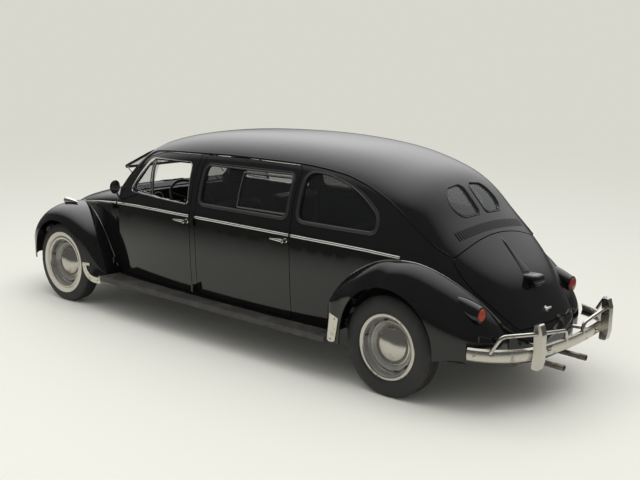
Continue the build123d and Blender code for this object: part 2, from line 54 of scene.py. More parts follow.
BODY_OF = {node: body for body, nodes in frame["record"]["behaviour"]["bodies"].items() for node in nodes}
REAR_X = JOINTS["left_rear_wheel_spin"]["pos_m"][0]
AXLE_Z = JOINTS["left_rear_wheel_spin"]["pos_m"][2]
WHEELBASE = (JOINTS["left_front_wheel_spin"]["pos_m"][0] - REAR_X) * 1000
SIDES = (("left", 1), ("right", -1))


def at(station, y, z):
    """A point given in the car's own millimetres."""
    return Vector((REAR_X + station / 1000, y / 1000, z / 1000))


# Studio: a pale painted floor in a pale room, soft light from above and less from the sides, and a
# camera behind the car's left rear corner, just over its roof. Polished surfaces mirror a darker
# room with one bright ceiling panel ahead of the car.
PALE = (0.69, 0.68, 0.61, 1)
CAMERA_AT, CAMERA_LENS = at(-3648, 5552, 2198.5), 57.96
yaw, pitch, roll = math.radians(-49.075), math.radians(-11.383), math.radians(1.124)
ahead = Vector((math.cos(yaw) * math.cos(pitch), math.sin(yaw) * math.cos(pitch), math.sin(pitch)))
level = ahead.cross(Vector((0, 0, 1))).normalized()
upright = level.cross(ahead)
tilted = Matrix((math.cos(roll) * level + math.sin(roll) * upright,
                 math.cos(roll) * upright - math.sin(roll) * level, -ahead)).transposed()
lens = bpy.data.cameras.new("camera")
lens.sensor_width = 36
lens.lens = CAMERA_LENS
camera = bpy.data.objects.new("camera", lens)
camera.matrix_world = Matrix.Translation(CAMERA_AT) @ tilted.to_4x4()
bpy.context.collection.objects.link(camera)
bpy.context.scene.camera = camera
bpy.context.scene.view_settings.view_transform = "Standard"


def add(tree, kind, feeds, out=0, **settings):
    """Adds a shader node, feeds its inputs with values or with other nodes' outputs, and gives back
    one of its own outputs."""
    node = tree.nodes.new("ShaderNode" + kind)
    for label, value in settings.items():
        setattr(node, label, value)
    for label, value in feeds.items():
        if isinstance(value, bpy.types.NodeSocket):
            tree.links.new(value, node.inputs[label])
        else:
            node.inputs[label].default_value = value
    return node.outputs[out]


world = bpy.data.worlds.new("studio")
world.use_nodes = True
tree = world.node_tree
direction = add(tree, "TexCoord", {}, "Generated")


def room_light(colour, aim, low, high, least, most):
    """Light that grows from least to most as the direction turns towards aim."""
    towards = add(tree, "VectorMath", {0: direction, 1: Vector(aim).normalized()}, "Value",
                  operation="DOT_PRODUCT")
    grown = add(tree, "MapRange", {"Value": towards, "From Min": low, "From Max": high, "To Min": least,
                                   "To Max": most})
    return add(tree, "Background", {"Color": colour, "Strength": grown})


lit = room_light((0.93, 0.94, 0.93, 1), (0, 0, 1), 0.0, 0.8, 0.34, 1.0)
mirrored = room_light((0.97, 0.98, 0.97, 1), (0.38, -0.45, 0.80), 0.56, 1.0, 0.13, 2.7)
glossy = add(tree, "LightPath", {}, "Is Glossy Ray")
by_mirror = add(tree, "MixShader", {"Fac": glossy, 1: lit, 2: mirrored})
straight = add(tree, "Math", {0: add(tree, "LightPath", {}, "Is Camera Ray"),
                              1: add(tree, "LightPath", {}, "Is Transmission Ray")}, use_clamp=True)
wall = add(tree, "Background", {"Color": PALE})
by_sight = add(tree, "MixShader", {"Fac": straight, 1: by_mirror, 2: wall})
tree.links.new(by_sight, tree.nodes["World Output"].inputs["Surface"])
bpy.context.scene.world = world

softbox = bpy.data.lights.new("softbox", "AREA")
softbox.shape = "DISK"
softbox.size = 7
softbox.energy = 170
box_lamp = bpy.data.objects.new("softbox", softbox)
box_lamp.location = (-0.5, 1.5, 6.5)
box_lamp.visible_glossy = False
bpy.context.collection.objects.link(box_lamp)

bm = bmesh.new()
bmesh.ops.create_grid(bm, x_segments=2, y_segments=2, size=60)
floor_mesh = bpy.data.meshes.new("floor")
bm.to_mesh(floor_mesh)
bm.free()
floor = bpy.data.objects.new("floor", floor_mesh)
bpy.context.collection.objects.link(floor)
paint = bpy.data.materials.new("floor_paint")
paint.use_nodes = True
tree = paint.node_tree
shader = tree.nodes["Principled BSDF"]
shader.inputs["Base Color"].default_value = (0.83, 0.815, 0.75, 1)
shader.inputs["Roughness"].default_value = 0.7
spot = add(tree, "TexCoord", {}, "Object")


def floor_fade(place, start, end):
    """How far out a spot of the floor lies, from 0 at start to 1 at end, in metres."""
    reach = add(tree, "VectorMath", {0: place}, "Value", operation="LENGTH")
    return add(tree, "MapRange", {"Value": reach, "From Min": start, "From Max": end},
               interpolation_type="SMOOTHSTEP")


blend = add(tree, "MixShader", {"Fac": floor_fade(spot, 4.5, 15), 1: shader.outputs[0],
                                2: add(tree, "Emission", {"Color": PALE})})
# Painted reflection: to glossy rays, the floor beyond an oval some 2 to 4 m out from the car turns into a dim
# glowing sheet, so the car's sides mirror painted shade there.
narrow = add(tree, "Mapping", {"Vector": spot, "Scale": (0.55, 1, 1)})
glossy = add(tree, "LightPath", {}, "Is Glossy Ray")
painted_reflection_shade_mask = add(tree, "Math", {0: floor_fade(narrow, 2.1, 3.9), 1: glossy}, operation="MULTIPLY")
painted_reflection_shade = add(tree, "Emission", {"Color": (0.10, 0.10, 0.095, 1)})
ended = add(tree, "MixShader", {"Fac": painted_reflection_shade_mask, 1: blend, 2: painted_reflection_shade})
tree.links.new(ended, tree.nodes["Material Output"].inputs["Surface"])
floor_mesh.materials.append(paint)


# Chassis: a pressed floor with a backbone tunnel, welded from steel sheet and painted with a
# matt black chassis paint that has gathered dust and a little rust. The bulkhead is part of it.
def new_group(name, inputs, output):
    """An empty shader group with a vector and number inputs, and one output value."""
    group = bpy.data.node_groups.new(name, "ShaderNodeTree")
    group.interface.new_socket("Vector", in_out="INPUT", socket_type="NodeSocketVector")
    for label, value in inputs:
        made = group.interface.new_socket(label, in_out="INPUT", socket_type="NodeSocketFloat")
        made.default_value = value
    group.interface.new_socket(output, in_out="OUTPUT", socket_type="NodeSocketFloat")
    return group, group.nodes.new("NodeGroupInput").outputs, group.nodes.new("NodeGroupOutput").inputs


GRAIN, given, height = new_group("grain", [("Scale", 200), ("Detail", 4)], "Height")
fine = add(GRAIN, "TexNoise", {label: given[label] for label in ("Vector", "Scale", "Detail")}, "Fac")
GRAIN.links.new(fine, height["Height"])

WEAR, given, mask = new_group("wear_patches", [("Scale", 8), ("Low", 0.5), ("High", 0.7)], "Mask")
cloud = add(WEAR, "TexNoise", {"Vector": given["Vector"], "Scale": given["Scale"], "Detail": 7,
                               "Roughness": 0.62}, "Fac")
edge = add(WEAR, "MapRange", {"Value": cloud, "From Min": given["Low"], "From Max": given["High"]})
WEAR.links.new(edge, mask["Mask"])


def surface(name, colour, rough, metal=0.0, grain=None, worn=None, stretch=(1, 1, 1)):
    """A material with a grain of (scale, strength, depth in mm) and worn patches of
    (colour, scale, low, high, roughness)."""
    made = bpy.data.materials.new(name)
    made.use_nodes = True
    tree = made.node_tree
    shader = tree.nodes["Principled BSDF"].inputs
    shader["Base Color"].default_value = (*colour, 1)
    shader["Roughness"].default_value = rough
    shader["Metallic"].default_value = metal
    place = add(tree, "Mapping", {"Vector": add(tree, "TexCoord", {}, "Object"), "Scale": stretch})
    worn_colour, scale, low, high, worn_rough = worn or (colour, 5, 0.3, 0.8, rough * 1.35 + 0.02)
    mask = add(tree, "Group", {"Vector": place, "Scale": scale, "Low": low, "High": high}, node_tree=WEAR)
    tint = add(tree, "Mix", {"Factor": mask, "A": (*colour, 1), "B": (*worn_colour, 1)}, "Result",
               data_type="RGBA")
    sheen = add(tree, "MapRange", {"Value": mask, "To Min": rough, "To Max": worn_rough})
    tree.links.new(tint, shader["Base Color"])
    tree.links.new(sheen, shader["Roughness"])
    if grain:
        relief = add(tree, "Group", {"Vector": place, "Scale": grain[0]}, node_tree=GRAIN)
        bump = add(tree, "Bump", {"Strength": grain[1], "Distance": grain[2] / 1000, "Height": relief})
        tree.links.new(bump, shader["Normal"])
    return made


def smooth(bm, sharp):
    """Keeps the corners sharp between smooth faces."""
    for edge in bm.edges:
        edge.smooth = len(edge.link_faces) == 2 and edge.calc_face_angle(0) < math.radians(sharp)
    for face in bm.faces:
        face.smooth = True


def place_piece(bm, name, look, body, stands_for=(), sharp=35):
    """Ends the work on a mesh: its faces turn outwards, and the piece gets its finish and rides on
    its body. Without an angle for sharp corners, the mesh stays as it is."""
    if sharp:
        bmesh.ops.recalc_face_normals(bm, faces=bm.faces)
        smooth(bm, sharp)
    mesh = bpy.data.meshes.new(name)
    bm.to_mesh(mesh)
    bm.free()
    piece = bpy.data.objects.new(name, mesh)
    bpy.context.collection.objects.link(piece)
    mesh.materials.append(look)
    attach(piece, body)
    if stands_for:
        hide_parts(*stands_for)
    return piece


def from_node(node, look):
    """A merged and smooth copy of a CAD node, which stands for it."""
    bm = bmesh.new()
    bm.from_mesh(frame["nodes"][node].data)
    bmesh.ops.remove_doubles(bm, verts=bm.verts, dist=2e-6)
    smooth(bm, 30)
    piece = place_piece(bm, node + "_skin", look, BODY_OF[node], [node], None)
    if "custom_normal" in piece.data.attributes:
        piece.data.attributes.remove(piece.data.attributes["custom_normal"])
    return piece


chassis_black = surface("chassis_black", (0.014, 0.0135, 0.013), 0.55, grain=(120, 0.4, 0.6),
                        worn=((0.055, 0.040, 0.028), 9, 0.54, 0.75, 0.85))
for node in ("floor_pan", "rear_bulkhead"):
    from_node(node, chassis_black)


# Running gear: swing axles on torsion bars behind, a two-tube beam with trailing arms and kingpins
# in front. Steel forgings and tubes under chassis paint, bolted to the ends of the backbone.
for node in ("front_axle", "rear_axle", "front_knuckle_left", "front_knuckle_right"):
    from_node(node, chassis_black)


# Engine and gearbox: cast light alloy, left bare and dulled by oil, bolted together behind the
# rear axle as one unit. Only its outline can be seen under the tail.
cast_alloy = surface("cast_alloy", (0.19, 0.185, 0.17), 0.55, 0.75, grain=(150, 0.5, 0.8),
                     worn=((0.05, 0.045, 0.04), 12, 0.45, 0.65, 0.75))
for node in ("engine_block", "gearbox"):
    from_node(node, cast_alloy)


# Silencer and tail pipes: steel drum across the tail with two plain pipes that leave under the
# bumper, welded up and browned by heat.
hot_steel = surface("hot_steel", (0.26, 0.24, 0.215), 0.4, 0.85, grain=(200, 0.3, 0.4),
                    worn=((0.115, 0.075, 0.05), 14, 0.42, 0.66, 0.75))
from_node("exhaust", hot_steel)


# Body shell: pressed steel panels welded into one, wings and lids bolted on, all in black enamel
# with a high polish. The wheel wells and the wings' undersides have a dull rubbery underseal.
black_enamel = surface("black_enamel", (0.0052, 0.0052, 0.0052), 0.055, grain=(45, 0.015, 0.4),
                       worn=((0.0075, 0.0075, 0.0072), 2.2, 0.45, 0.75, 0.11))
underseal = surface("underseal", (0.012, 0.0115, 0.011), 0.8, grain=(90, 0.7, 1.2),
                    worn=((0.03, 0.025, 0.02), 7, 0.5, 0.8, 0.92))
head_cloth = surface("head_cloth", (0.23, 0.215, 0.18), 0.92, grain=(900, 0.6, 0.4),
                     worn=((0.18, 0.165, 0.14), 3, 0.4, 0.8, 0.96))
CABIN_LOW, CABIN_HIGH = at(330, 0, 330), at(2640, 0, 1480)
WELL_RADIUS, WELL_INNER, WELL_OUTER = 0.384, 0.38, 0.78

skin = from_node("body_shell", black_enamel)
skin.data.materials.append(underseal)
skin.data.materials.append(head_cloth)
for face in skin.data.polygons:
    spot, way = face.center, face.normal
    for station in (WHEELBASE, 0):
        hub = at(station, 0, 320)
        near = math.hypot(spot.x - hub.x, spot.z - hub.z) < WELL_RADIUS
        if near and WELL_INNER < abs(spot.y) < WELL_OUTER:
            face.material_index = 1
    inward = way.y * spot.y < -0.02 or way.z < -0.35
    half_width = 0.655 if spot.z < 0.95 else 0.61
    if (CABIN_LOW.x < spot.x < CABIN_HIGH.x and CABIN_LOW.z < spot.z < CABIN_HIGH.z and inward
            and abs(spot.y) < half_width and abs(way.x) < 0.95):
        face.material_index = 2

for end, station in (("front", WHEELBASE), ("rear", 0)):
    skin = from_node(end + "_wings", black_enamel)
    skin.data.materials.append(underseal)
    for face in skin.data.polygons:
        heart = at(station, math.copysign(560, face.center.y), 330)
        face.material_index = int(face.normal.dot(face.center - heart) < 0)

for node in ("bonnet", "engine_lid", "plate_lamp"):
    from_node(node, black_enamel)


# Doors: four pressed steel doors hung on outside hinges, enamelled outside and trimmed inside
# with brown leathercloth cards that are clipped to the frame below the windows.
card_cloth = surface("card_cloth", (0.060, 0.047, 0.036), 0.5, grain=(520, 0.5, 0.4),
                     worn=((0.040, 0.031, 0.024), 6, 0.45, 0.7, 0.6))
for end in ("front", "rear"):
    for name, side in SIDES:
        skin = from_node(f"{end}_door_{name}", black_enamel)
        skin.data.materials.append(card_cloth)
        for face in skin.data.polygons:
            spot, way = face.center, face.normal
            face.material_index = int(way.y * side < -0.5 and 0.34 < spot.z < 0.97
                                      and CABIN_LOW.x < spot.x < at(2700, 0, 0).x)


# Wing beading: a rolled bead of dull bright metal that is pinched between each bolted wing and the
# body, and hides their seam. One continuous piece to each wing.
def surface_tree(names):
    """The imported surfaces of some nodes, to lay trim on."""
    bm = bmesh.new()
    for node in names:
        bm.from_mesh(frame["nodes"][node].data)
    tree = BVHTree.FromBMesh(bm)
    bm.free()
    return tree


HULL = surface_tree(["body_shell", "front_door_left", "front_door_right", "rear_door_left",
                     "rear_door_right", "bonnet", "engine_lid"])
WINGS = surface_tree(["front_wings", "rear_wings"])


def met(tree, start, way):
    """Where a line meets a surface, and the surface's outward direction there."""
    hit, normal, _, _ = tree.ray_cast(start, Vector(way))
    if hit is None:
        return None, None
    return hit, (-normal if normal.dot(Vector(way)) > 0 else normal)


def from_side(station, z, side, tree=HULL):
    """Where a level line from one side of the car meets a surface."""
    return met(tree, Vector((REAR_X + station / 1000, 2 * side, z / 1000)), (0, -side, 0))


def eased(points, rounds=3, closed=False):
    """A path with its corners worn round."""
    for _ in range(rounds):
        last = len(points) - 1
        points = [(points[k - 1] + points[k] * 2 + points[(k + 1) % (last + 1)]) / 4
                  if closed or 0 < k < last else points[k] for k in range(last + 1)]
    return points


def spaced(points, gap, closed=False):
    """The same path with points at even short steps."""
    ring = list(points) + ([points[0]] if closed else [])
    out = []
    for a, b in zip(ring, ring[1:]):
        steps = max(1, round((b - a).length / gap))
        out += [a.lerp(b, k / steps) for k in range(steps)]
    return out if closed else out + [ring[-1]]


def run(bm, section, points, normals, closed=False):
    """Runs a closed section of (across, outwards) millimetres along a path, edge by edge."""
    stands = []
    for k, (point, normal) in enumerate(zip(points, normals)):
        before = points[k - 1] if closed or k else points[0]
        after = points[(k + 1) % len(points)] if closed or k < len(points) - 1 else points[-1]
        along = (after - before).normalized()
        normal = (normal - along * normal.dot(along)).normalized()
        turn = Matrix((along.cross(normal), normal, along)).transposed()
        stands.append(Matrix.Translation(point) @ turn.to_4x4())
    ring = [bm.verts.new(stands[0] @ Vector((a / 1000, b / 1000, 0))) for a, b in section]
    first = [bm.edges.new((ring[k - 1], ring[k])) for k in range(len(ring))]
    edges = first
    for here, there in zip(stands, stands[1:]):
        made = bmesh.ops.extrude_edge_only(bm, edges=edges)["geom"]
        verts = [g for g in made if isinstance(g, bmesh.types.BMVert)]
        edges = [g for g in made if isinstance(g, bmesh.types.BMEdge) and g.is_boundary]
        bmesh.ops.transform(bm, matrix=there @ here.inverted(), verts=verts)
    if closed:
        bmesh.ops.bridge_loops(bm, edges=first + edges)
    else:
        bmesh.ops.edgeloop_fill(bm, edges=first)
        bmesh.ops.edgeloop_fill(bm, edges=edges)


def steady(points, closed=False):
    """Sideways directions that turn as little as they can along a path."""
    out, normal = [], None
    for k, point in enumerate(points):
        onward = closed or k < len(points) - 1
        along = (points[(k + 1) % len(points)] - point if onward else point - points[k - 1]).normalized()
        normal = along.orthogonal() if normal is None else normal
        normal = (normal - along * normal.dot(along)).normalized()
        out.append(normal)
    return out


def bar(bm, points, radius, closed=False, steps=12):
    """A round bar along a path, its radius in millimetres."""
    ring = [(radius * math.cos(2 * math.pi * k / steps), radius * math.sin(2 * math.pi * k / steps))
            for k in range(steps)]
    run(bm, ring, points, steady(points, closed), closed)


SEAM_TOP, SEAM_STEP, SEAM_STEPS = 930, 3, 220


def wing_seam(stations, side):
    """Where a wing's crown meets the body, station by station."""
    spots = []
    for station in stations:
        last = None
        for k in range(SEAM_STEPS):
            z = SEAM_TOP - SEAM_STEP * k
            wing, _ = from_side(station, z, side, WINGS)
            hull, _ = from_side(station, z, side)
            if hull is not None and wing is not None and wing.y * side > hull.y * side + 0.0004:
                spots.append(last or hull)
                break
            last = hull
    return eased(spots, 4)


bead_metal = surface("bead_metal", (0.42, 0.41, 0.39), 0.26, 1.0, grain=(300, 0.1, 0.2))
front_line = [2774, 2784, 2798, 2816, 2840, 2870] + [2905 + 35 * k for k in range(27)]
rear_line = [503, 499, 493, 484, 472, 456, 436, 412] + [384 - 30 * k for k in range(34)]
for name, side in SIDES:
    bm = bmesh.new()
    for stations in (front_line, rear_line):
        bar(bm, eased(spaced(wing_seam(stations, side), 0.014), 3), 5.5, steps=10)
    place_piece(bm, "wing_beading_" + name, bead_metal, "body")


# Glass: flat laminated windscreen, curved toughened side panes and a split rear window. Clear
# glass with a faint grey tint in the panes that don't move.
def glazing(name, colour, clear, rough):
    """Window glass with a see-through share and a smooth skin."""
    made = surface(name, colour, rough, worn=(colour, 3, 0.3, 0.8, rough + 0.03))
    shader = made.node_tree.nodes["Principled BSDF"].inputs
    shader["Alpha"].default_value = 1 - clear
    shader["IOR"].default_value = 1.5
    return made


clear_glass = glazing("clear_glass", (0.010, 0.011, 0.011), 0.80, 0.012)
side_glass = glazing("side_glass", (0.012, 0.013, 0.013), 0.52, 0.015)
rear_glass = glazing("rear_glass", (0.055, 0.058, 0.058), 0.35, 0.03)
for name, _ in SIDES:
    from_node("rear_door_glass_" + name, side_glass)
    from_node("front_door_glass_" + name, clear_glass)
panes = from_node("fixed_glass", side_glass)
panes.data.materials.append(clear_glass)
panes.data.materials.append(rear_glass)
for face in panes.data.polygons:
    rear_pane = face.center.x < at(260, 0, 0).x and abs(face.center.y) < 0.3
    face.material_index = 1 if face.center.x > at(2200, 0, 0).x else 2 * int(rear_pane)


# Window rubbers: extruded black seals with a rolled lip, pushed over the edge of each opening and
# joined at the bottom. The rear panes have a slimmer one.
def rounded_line(corners, gap=0.012):
    """Points round a flat outline of (u, v, radius) in millimetres, its corners rounded by bevels."""
    bm = bmesh.new()
    verts = [bm.verts.new((u / 1000, v / 1000, 0)) for u, v, _ in corners]
    bm.faces.new(verts)
    spots = [v.co.copy() for v in verts]
    for k, vert in enumerate(verts):
        half = (spots[k - 1] - spots[k]).angle(spots[(k + 1) % len(spots)] - spots[k]) / 2
        bmesh.ops.bevel(bm, geom=[vert], offset=corners[k][2] / 1000 / math.tan(half), affect="VERTICES",
                        segments=10, profile=0.5, clamp_overlap=False, material=-1)
    bm.faces.ensure_lookup_table()
    line = spaced([v.co.copy() for v in bm.faces[0].verts], gap, True)
    bm.free()
    return line


def outside(line, amount):
    """A closed flat line moved outwards by an even margin in millimetres."""
    turn = 1 if sum(a.x * b.y - b.x * a.y for a, b in zip(line, line[1:] + line[:1])) > 0 else -1
    out = []
    for k, point in enumerate(line):
        along = (line[(k + 1) % len(line)] - line[k - 1]).normalized()
        out.append(point + Vector((along.y, -along.x, 0)) * turn * amount / 1000)
    return out


def window_edge(corners, side, margin=8, tree=HULL):
    """The edge of a side window, laid on the skin just outside its hole."""
    spots, normals = [], []
    line = rounded_line(corners)
    for p, q in zip(line, outside(line, margin)):
        hit, normal = from_side(q.x * 1000, q.y * 1000, side, tree)
        if hit is not None:
            spots.append(Vector((REAR_X + p.x, hit.y, p.y)))
            normals.append(normal)
    return eased(spots, 2, True), eased(normals, 6, True)


FRONT_WINDOW = [(2560, 985, 30), (2400, 1248, 90), (1870, 1268, 60), (1842, 972, 30)]
REAR_WINDOW = [(1728, 990, 48), (1728, 1270, 48), (880, 1286, 48), (878, 996, 48)]
QUARTER_WINDOW = [(793, 992, 60), (793, 1314, 60), (640, 1314, 400), (370, 1250, 700), (150, 1092, 100),
                  (165, 992, 40)]
REAR_PANE = [(30, 1100, 25), (215, 1094, 60), (268, 1140, 50), (228, 1252, 100), (30, 1274, 40)]
SEAL = [(-13, -3), (-12, 2), (-8, 5.5), (-3, 4), (0, 2.5), (3, 4), (8, 5.5), (12, 2), (13, -3), (8, -20),
        (-4, -20)]

seal_rubber = surface("seal_rubber", (0.020, 0.020, 0.020), 0.38, grain=(350, 0.15, 0.3))
for name, side in SIDES:
    for label, corners, body in (("rear", REAR_WINDOW, name + "_rear_door"),
                                 ("quarter", QUARTER_WINDOW, "body")):
        bm = bmesh.new()
        run(bm, SEAL, *window_edge(corners, side), closed=True)
        place_piece(bm, f"{label}_window_rubber_{name}", seal_rubber, body)
bm = bmesh.new()
for sign in (1, -1):
    corners = REAR_PANE if sign > 0 else [(-y, z, r) for y, z, r in reversed(REAR_PANE)]
    spots, normals = [], []
    line = rounded_line(corners, 0.009)
    for p, q in zip(line, outside(line, 5)):
        hit, normal = met(HULL, Vector((REAR_X - 3, q.x, q.y)), (1, 0, 0))
        if hit is not None:
            spots.append(Vector((hit.x, p.x, p.y)))
            normals.append(normal)
    slim = [(a * 0.5, b * 0.6) for a, b in SEAL]
    run(bm, slim, eased(spots, 2, True), eased(normals, 6, True), closed=True)
place_piece(bm, "rear_window_rubber", seal_rubber, "body")


# Front door window: the drop glass is wound down into the door. Its channel, the vent window ahead
# of it and the post between them are folded brass strip, chrome plated and screwed to the door.
chrome = surface("polished_chrome", (0.70, 0.69, 0.66), 0.07, 1.0,
                 worn=((0.62, 0.60, 0.56), 6, 0.45, 0.8, 0.16))
PANES = surface_tree(["rear_door_glass_left", "rear_door_glass_right", "front_door_glass_left",
                      "front_door_glass_right"])
VENT = [(2540, 1006, 24), (2420, 1222, 30), (2374, 1240, 6), (2304, 992, 8)]


def crowned(width, height, depth=4):
    """A small rounded strip's section."""
    w, low = width / 2, height * 0.4
    return [(-w, -depth), (-w, low), (-w * 0.6, height), (w * 0.6, height), (w, low), (w, -depth)]


def laid(stations, heights, side, tree=HULL, rounds=2):
    """A path laid on a surface, with the surface's outward directions."""
    found = [from_side(x, z, side, tree) for x, z in zip(stations, heights)]
    found = [f for f in found if f[0] is not None]
    return [f[0] for f in found], eased([f[1] for f in found], rounds)


for name, side in SIDES:
    bm = bmesh.new()
    run(bm, crowned(8, 4, 22), *window_edge(FRONT_WINDOW, side, 6), closed=True)
    place_piece(bm, "front_window_frame_" + name, chrome, name + "_front_door")
    bm = bmesh.new()
    run(bm, crowned(6, 6, 3), *window_edge(VENT, side, -6, PANES), closed=True)
    upper, out = laid([2400] * 24, [990 + 10.5 * k for k in range(24)], side, PANES)
    post = [Vector((at(2286 + 3.1 * k, 0, 0).x, p.y, p.z)) for k, p in enumerate(upper)]
    run(bm, crowned(11, 9, 4), post, out)
    place_piece(bm, "vent_window_frame_" + name, chrome, name + "_front_door")


# Rear door window: two panes that slide past each other in chromed brass rails. The rear one has
# a frame of its own with a thick rail above and below.
SLIDER = [(1352, 1012, 12), (1345, 1250, 12), (896, 1258, 40), (880, 1018, 40)]
for name, side in SIDES:
    bm = bmesh.new()
    run(bm, crowned(8, 9, 3), *window_edge(SLIDER, side, -4, PANES), closed=True)
    for z0, z1 in ((1246, 1254), (1016, 1022)):
        stations, heights = zip(*[(1345 - 12 * k, z0 + (z1 - z0) * k / 38) for k in range(38)])
        run(bm, crowned(13, 14, 3), *laid(stations, heights, side, PANES))
    place_piece(bm, "sliding_pane_frame_" + name, chrome, name + "_rear_door")


# Drip rails: a folded gutter of steel, spot welded over the doors and quarter windows from the
# windscreen pillar down to the tail, and painted with the body.
RAIL_LINE = [(2511, 1159), (2491, 1220), (2450, 1268), (2397, 1294), (2250, 1309), (2097, 1320), (1861, 1331),
             (1548, 1345), (1252, 1349), (978, 1350), (807, 1347), (638, 1333), (475, 1311), (304, 1263),
             (139, 1195), (11, 1120), (-102, 1030), (-204, 951), (-287, 902)]
for name, side in SIDES:
    flat = eased(spaced([Vector((x, 0, z)) for x, z in RAIL_LINE], 14), 6)
    spots, normals = laid([p.x for p in flat], [p.z for p in flat], side, rounds=8)
    gutter = [(-5, -3), (-6, 5), (-4, 8), (-1, 8.5), (1, 7), (0, 4), (6, 3), (7, -3)]
    if side < 0:
        gutter = [(-a, b) for a, b in reversed(gutter)]
    bm = bmesh.new()
    run(bm, gutter, eased(spots, 5), normals)
    place_piece(bm, "drip_rail_" + name, black_enamel, "body")


# Belt moulding: rolled aluminium strip, polished, clipped along the belt from the bonnet to the
# tail in one length for each panel, with rounded ends.
polished_strip = surface("polished_strip", (0.72, 0.71, 0.68), 0.2, 1.0, grain=(400, 0.1, 0.2),
                         worn=((0.60, 0.58, 0.54), 10, 0.5, 0.8, 0.35), stretch=(0.2, 1, 1))
BELT = [(-40, 871.5), (0, 875), (200, 886), (450, 891), (750, 893), (1100, 895), (1500, 895), (1900, 893),
        (2200, 890), (2450, 884), (2700, 872), (2800, 862), (3000, 842), (3180, 816), (3340, 789)]


def belt_height(station):
    """How high the moulding's middle runs at a station."""
    for (x0, z0), (x1, z1) in zip(BELT, BELT[1:]):
        if x0 <= station <= x1:
            return z0 + (z1 - z0) * (station - x0) / (x1 - x0)


HALF_ROUND = [(-10, -2), (-9.5, 3), (-6.5, 6.5), (-2.3, 8.2), (2.3, 8.2), (6.5, 6.5), (9.5, 3), (10, -2)]
for name, side in SIDES:
    for label, start, end, body in (
            ("quarter", -31, 826, "body"), ("rear_door", 843, 1751, name + "_rear_door"),
            ("front_door", 1818, 2716, name + "_front_door"), ("cowl", 2738, 3326, "body")):
        steps = round((end - start) / 16)
        line = [start + (end - start) * k / steps for k in range(steps + 1)]
        spots, normals = laid(line, [belt_height(x) for x in line], side, rounds=4)
        bm = bmesh.new()
        run(bm, HALF_ROUND, eased(spots, 3), normals)
        ends = [e for e in bm.edges if len(e.link_faces) == 2 and max(len(f.verts) for f in e.link_faces) > 4]
        bmesh.ops.bevel(bm, geom=ends, offset=0.0025, affect="EDGES", segments=2, profile=0.5,
                        clamp_overlap=True, material=-1)
        place_piece(bm, f"belt_moulding_{label}_{name}", polished_strip, body, sharp=50)


# Running boards: steel treads bolted between the wings, with ribbed rubber mats glued on and
# turned down over their outer edge.
board_rubber = surface("board_rubber", (0.030, 0.029, 0.027), 0.5, grain=(260, 0.4, 0.5),
                       worn=((0.075, 0.068, 0.058), 8, 0.45, 0.75, 0.7))
from_node("running_boards", board_rubber)
BOARD_START, BOARD_END, BOARD_Y, BOARD_TOP, BOARD_WIDTH = 520, 2740, 757, 304, 122
ribs = [(0, -0.8)]
for k in range(13):
    ribs += [(4 + 9 * k, 0.8), (5.5 + 9 * k, 3.2), (8.5 + 9 * k, 3.2), (10 + 9 * k, 0.8)]
ribs.append((BOARD_WIDTH, -0.8))
for name, side in SIDES:
    mat_section = ribs if side > 0 else [(-a, b) for a, b in reversed(ribs)]
    bm = bmesh.new()
    line = [at(x, BOARD_Y * side, BOARD_TOP) for x in (BOARD_START, BOARD_END)]
    run(bm, mat_section, line, [Vector((0, 0, 1))] * 2)
    place_piece(bm, "board_mat_" + name, board_rubber, "body")


# Stone guards: thin plates that keep grit from the wings beside the running boards, pressed from
# aluminium, lacquered cream and fixed with two raised screws each.
guard_lacquer = surface("guard_lacquer", (0.62, 0.59, 0.49), 0.34, 0.15, grain=(180, 0.15, 0.3),
                        worn=((0.36, 0.32, 0.24), 16, 0.56, 0.72, 0.6))
dull_chrome = surface("dull_chrome", (0.52, 0.50, 0.45), 0.2, 1.0, grain=(220, 0.12, 0.25),
                      worn=((0.22, 0.15, 0.09), 11, 0.58, 0.72, 0.6))


def turned(bm, profile, centre, axis, steps=64):
    """Turns a profile of (radius, distance along the axis) in millimetres about an axis."""
    axis = Vector(axis).normalized()
    spoke = axis.orthogonal().normalized()
    verts = [bm.verts.new(centre + (spoke * r + axis * d) / 1000) for r, d in profile]
    edges = [bm.edges.new(pair) for pair in zip(verts, verts[1:])]
    bmesh.ops.spin(bm, geom=verts + edges, cent=centre, axis=axis, angle=2 * math.pi, steps=steps,
                   use_merge=True)
    bmesh.ops.remove_doubles(bm, verts=bm.verts, dist=1e-6)


def spun(name, profiles, centre, axis, steps, look, body, stands_for=(), sharp=60):
    """A piece of its own made of turned profiles."""
    bm = bmesh.new()
    for profile in profiles:
        turned(bm, profile, centre, axis, steps)
    return place_piece(bm, name, look, body, stands_for, sharp)


def broken(bm, width, above=25, segments=2):
    """Breaks every corner sharper than an angle with a small bevel, as pressing and plating do."""
    bmesh.ops.recalc_face_normals(bm, faces=bm.faces)
    edges = [e for e in bm.edges if len(e.link_faces) == 2 and e.calc_face_angle(0) > math.radians(above)]
    bmesh.ops.bevel(bm, geom=edges, offset=width / 1000, affect="EDGES", segments=segments, profile=0.5,
                    clamp_overlap=True, material=-1)


